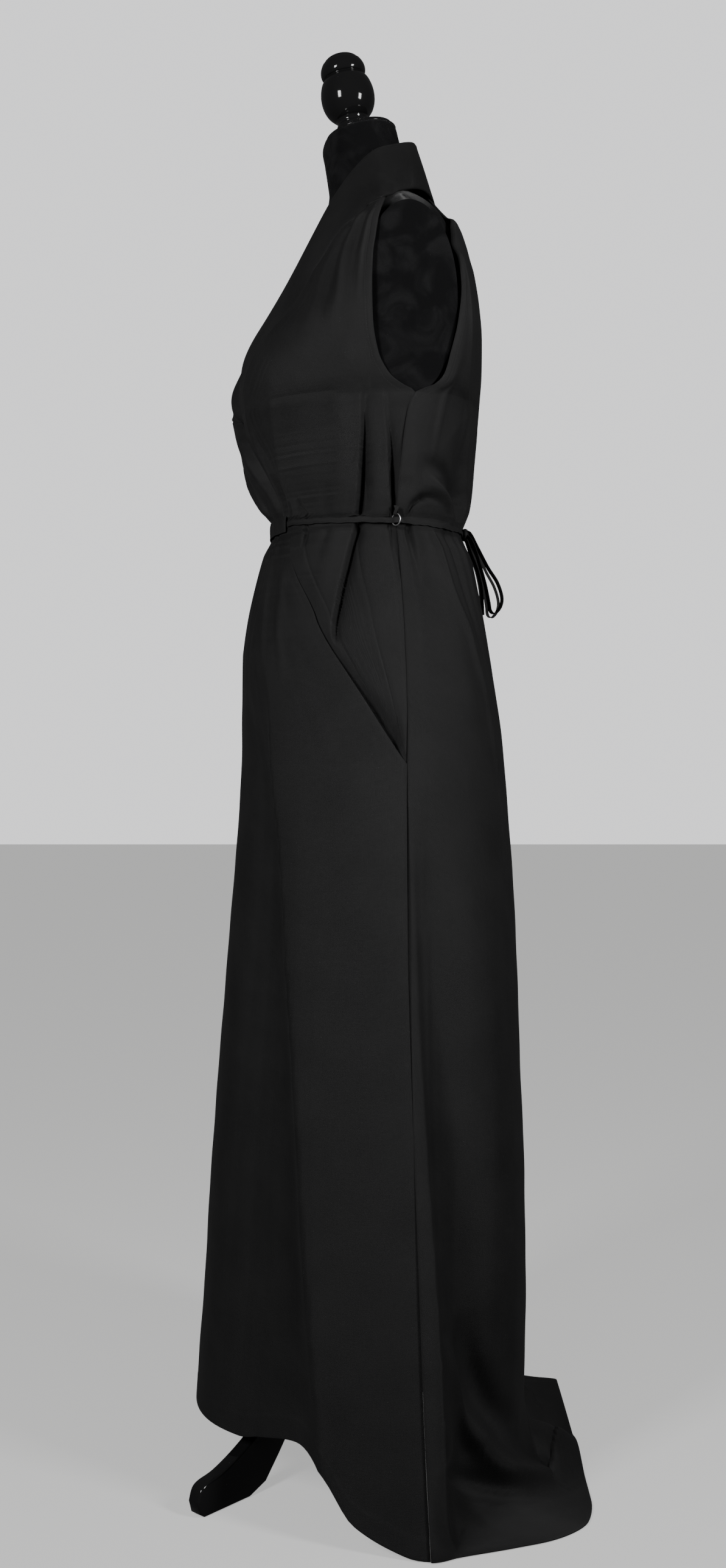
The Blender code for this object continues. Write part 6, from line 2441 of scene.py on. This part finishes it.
@dataclass
class Stand:
    """The turned finial, pole and hub, and the three sawn legs."""

    finishes: Finishes
    segments: int = 96
    edge: float = 0.0028

    def turned(self, name: str, profile: Sequence[Turned], place: Matrix) -> Piece:
        """A turned solid on +Z.

        Args:
            name: The node that it stands for.
            profile: Its outer side, from the bottom up.
            place: Where it stands, from the pole line.

        Returns:
            The piece.
        """
        line = [(0.0, profile[0].height), *self.side_line(profile), (0.0, profile[-1].height)]
        bm = bmesh.new()
        verts = [bm.verts.new((radius, 0.0, height)) for radius, height in line]
        for pair in zip(verts, verts[1:]):
            bm.edges.new(pair)
        spin(bm, self.segments, Matrix.Translation((0, AXIS_Y, 0)) @ place)
        return new_piece(name, bm, self.finishes.lacquer)

    @staticmethod
    def side_line(profile: Sequence[Turned]) -> list[tuple[float, float]]:
        """A profile with each of its smooth stretches rounded.

        Args:
            profile: The profile, from the bottom up.

        Returns:
            Each point's radius and height.
        """
        breaks = [0, *(i for i, row in enumerate(profile) if row.sharp), len(profile) - 1]
        line: list[tuple[float, float]] = []
        for first, last in zip(breaks, breaks[1:]):
            knots = [(row.radius, row.height, 0.0) for row in profile[first:last + 1]]
            round_line = path(knots, fractions(5 * (len(knots) - 1)))
            line.extend((float(r), float(h)) for r, h, _ in round_line)
        kept = [line[0]]
        for point in line[1:]:
            if math.dist(point, kept[-1]) > 1e-5:
                kept.append(point)
        return kept

    def leg(self, name: str, turn: float) -> Piece:
        """A leg: its outline, rounded, given its thickness and eased edges.

        Args:
            name: The node that it stands for.
            turn: Which way it points, in degrees from +X.

        Returns:
            The piece.
        """
        outline = [(row.reach, row.z) for row in LEG_TOP]
        top = path([(*point, 0.0) for point in outline], fractions(5 * (len(outline) - 1)))
        under = [(row.reach, row.z) for row in LEG_UNDER]
        points = [tuple(point[:2]) for point in top] + under
        bm = bmesh.new()
        verts = [bm.verts.new((x, y, -LEG_THICK / 2)) for x, y in points]
        face = bm.faces.new(verts)
        raised = bmesh.ops.extrude_face_region(bm, geom=[face])
        top_verts = [item for item in raised["geom"] if isinstance(item, bmesh.types.BMVert)]
        bmesh.ops.translate(bm, vec=(0, 0, LEG_THICK), verts=top_verts)
        bmesh.ops.recalc_face_normals(bm, faces=bm.faces)
        rim = [e for e in bm.edges if abs(e.verts[0].co.z - e.verts[1].co.z) < 1e-6]
        bmesh.ops.bevel(bm, geom=rim, offset=self.edge, offset_type="OFFSET", segments=4,
                        profile=0.5, affect="EDGES", material=-1, clamp_overlap=True)
        place = (Matrix.Translation((0, POLE_Y + AXIS_Y, 0))
                 @ Matrix.Rotation(math.radians(turn), 4, "Z")
                 @ Matrix.Rotation(math.pi / 2, 4, "X"))
        bmesh.ops.transform(bm, matrix=place, verts=bm.verts)
        bmesh.ops.recalc_face_normals(bm, faces=bm.faces)
        made = new_piece(name, bm, self.finishes.lacquer)
        made.data.set_sharp_from_angle(angle=math.radians(40))
        return made

    def build(self) -> list[Piece]:
        """Build every piece of the stand.

        Returns:
            The pieces.
        """
        return [
            self.turned("finial", FINIAL, Matrix.Translation(NECK_TOP)
                        @ Matrix.Rotation(NECK_LEAN, 4, "X")),
            self.turned("hub", HUB, Matrix.Translation((0, POLE_Y, HUB_BOTTOM))),
            self.turned("pole", POLE, Matrix.Translation((0, POLE_Y, HUB_TOP + GAP))),
            *(self.leg(name, turn) for name, turn in LEG_TURNS.items()),
        ]


# ---- studio


@dataclass
class Studio:
    """The floor, the light and the camera."""

    floor: bpy.types.Material
    distance: float = 2.0
    eye: float = 0.826
    aim: ClassVar[Vector] = Vector((0, 0, 0.95))  # what the soft boxes look at
    surround: ClassVar[float] = 0.05  # how strongly it lights, which is less than it is seen
    seen_surround: ClassVar[float] = 1.35
    lens: float = 36.0 * 2640 / 2576

    def build(self) -> None:
        """Set the scene up."""
        scene = bpy.context.scene
        bm = bmesh.new()
        bmesh.ops.create_grid(bm, x_segments=1, y_segments=1, size=20.0)
        mesh = bpy.data.meshes.new("floor")
        bm.to_mesh(mesh)
        bm.free()
        mesh.materials.append(self.floor)
        floor = bpy.data.objects.new("floor", mesh)
        scene.collection.objects.link(floor)
        floor.visible_diffuse = floor.visible_glossy = False
        floor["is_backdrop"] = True
        self.camera(scene)
        self.world(scene)
        for name, place, size, power in (
            ("key", (1.84, -1.38, 1.7), (0.45, 0.8), 30.0),
            ("side", (1.45, 1.78, 1.62), (0.45, 0.8), 29.0),
        ):
            self.light(scene, name, Vector(place), size, power)

    def camera(self, scene: bpy.types.Scene) -> None:
        """Level with the middle of the skirt, square on to the wearer's left side.

        Args:
            scene: The scene.
        """
        data = bpy.data.cameras.new("camera")
        data.sensor_fit = "VERTICAL"
        data.sensor_width = data.sensor_height = 36.0
        data.lens = self.lens
        camera = bpy.data.objects.new("camera", data)
        camera.location = (self.distance, AXIS_Y, self.eye)
        camera.rotation_euler = (math.pi / 2, 0.0, math.pi / 2)
        scene.collection.objects.link(camera)
        scene.camera = camera

    @classmethod
    def world(cls, scene: bpy.types.Scene) -> None:
        """A plain pale surround that lights the object only a little.

        Args:
            scene: The scene.
        """
        world = bpy.data.worlds.new("studio")
        world.use_nodes = True
        sheet = Shader(world.node_tree)
        seen = sheet.add("LightPath").outputs["Is Camera Ray"]
        strength = sheet.plus(sheet.times(seen, cls.seen_surround), cls.surround)
        light = sheet.add("Background", Color=(0.86, 0.86, 0.87, 1.0), Strength=strength)
        sheet.add("OutputWorld", Surface=light.outputs[0])
        scene.world = world

    @classmethod
    def light(cls, scene: bpy.types.Scene, name: str, place: Vector, size: tuple[float, float],
              power: float) -> None:
        """A soft box that looks at the middle of the object.

        Args:
            scene: The scene.
            name: Its name.
            place: Where it stands.
            size: Its width and height.
            power: Its watts.
        """
        data = bpy.data.lights.new(name, "AREA")
        data.shape = "RECTANGLE"
        data.size, data.size_y = size
        data.energy = power
        lamp = bpy.data.objects.new(name, data)
        lamp.location = place
        lamp.rotation_euler = (cls.aim - place).to_track_quat("-Z", "Y").to_euler()
        scene.collection.objects.link(lamp)


# ---- assembly


@dataclass
class Dress:
    """The whole dress: its panels, collar, belt and stitching."""

    finishes: Finishes

    def build(self) -> None:
        """Build every piece and sew it."""
        fronts, back, tie = (kind(self.finishes) for kind in (Fronts, Back, WaistTie))
        panels = (*fronts.build(), back.build())
        pockets = Pockets(self.finishes).build()
        collars = Collar(self.finishes).build()
        straps = tie.build()
        RingLoops(self.finishes).build()
        Bow(self.finishes).build()
        hems = [
            self.offset_line(place, top, column)
            for place, top, column in (
                (fronts.near_place, SHOULDER_Z, 0.0), (fronts.far_place, SHOULDER_Z, 1.0),
                (back.place, RACER_Z, 0.0), (back.place, RACER_Z, 1.0),
            )
        ]
        thread = self.finishes.thread
        Stitching().sew("armhole_stitching", hems, panels, thread)
        fine = Stitching(pitch=0.0026, length=0.0018, thread=0.00034)
        fine.sew("tie_stitching", tie.stitch_lines(), straps[1:], thread)

    @staticmethod
    def offset_line(place: Place, top: float, column: float) -> Array:
        """A line on a panel, a hem's width in from the armhole's edge.

        Args:
            place: The panel's outer face.
            top: Height of its top.
            column: The edge's fraction across.

        Returns:
            The line's places.
        """
        rows = fractions(400)
        rows = rows[top * (1 - rows) > UNDERARM_Z]
        step = 1e-3 if column == 0.0 else -1e-3
        edge = place(rows, column + 0 * rows)
        inner = place(rows, column + step + 0 * rows)
        along = unit(np.gradient(edge, axis=0))
        inward = unit(inner - edge)
        inward = unit(inward - along * np.sum(inward * along, -1, keepdims=True))
        return (edge + inward * (HEM_WIDTH - GROOVE_IN))[2:]


def main() -> None:
    """Build the looks in order and report each piece."""
    logging.basicConfig(level=logging.INFO, format="%(name)s: %(message)s")
    finishes = Finishes.make()
    Studio(PaleFloor().make()).build()
    Dress(finishes).build()
    DressForm(finishes).build()
    Stand(finishes).build()
    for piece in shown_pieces():
        log.info("%s has %d faces", piece.name, len(piece.data.polygons))


if __name__ == "__main__":
    main()
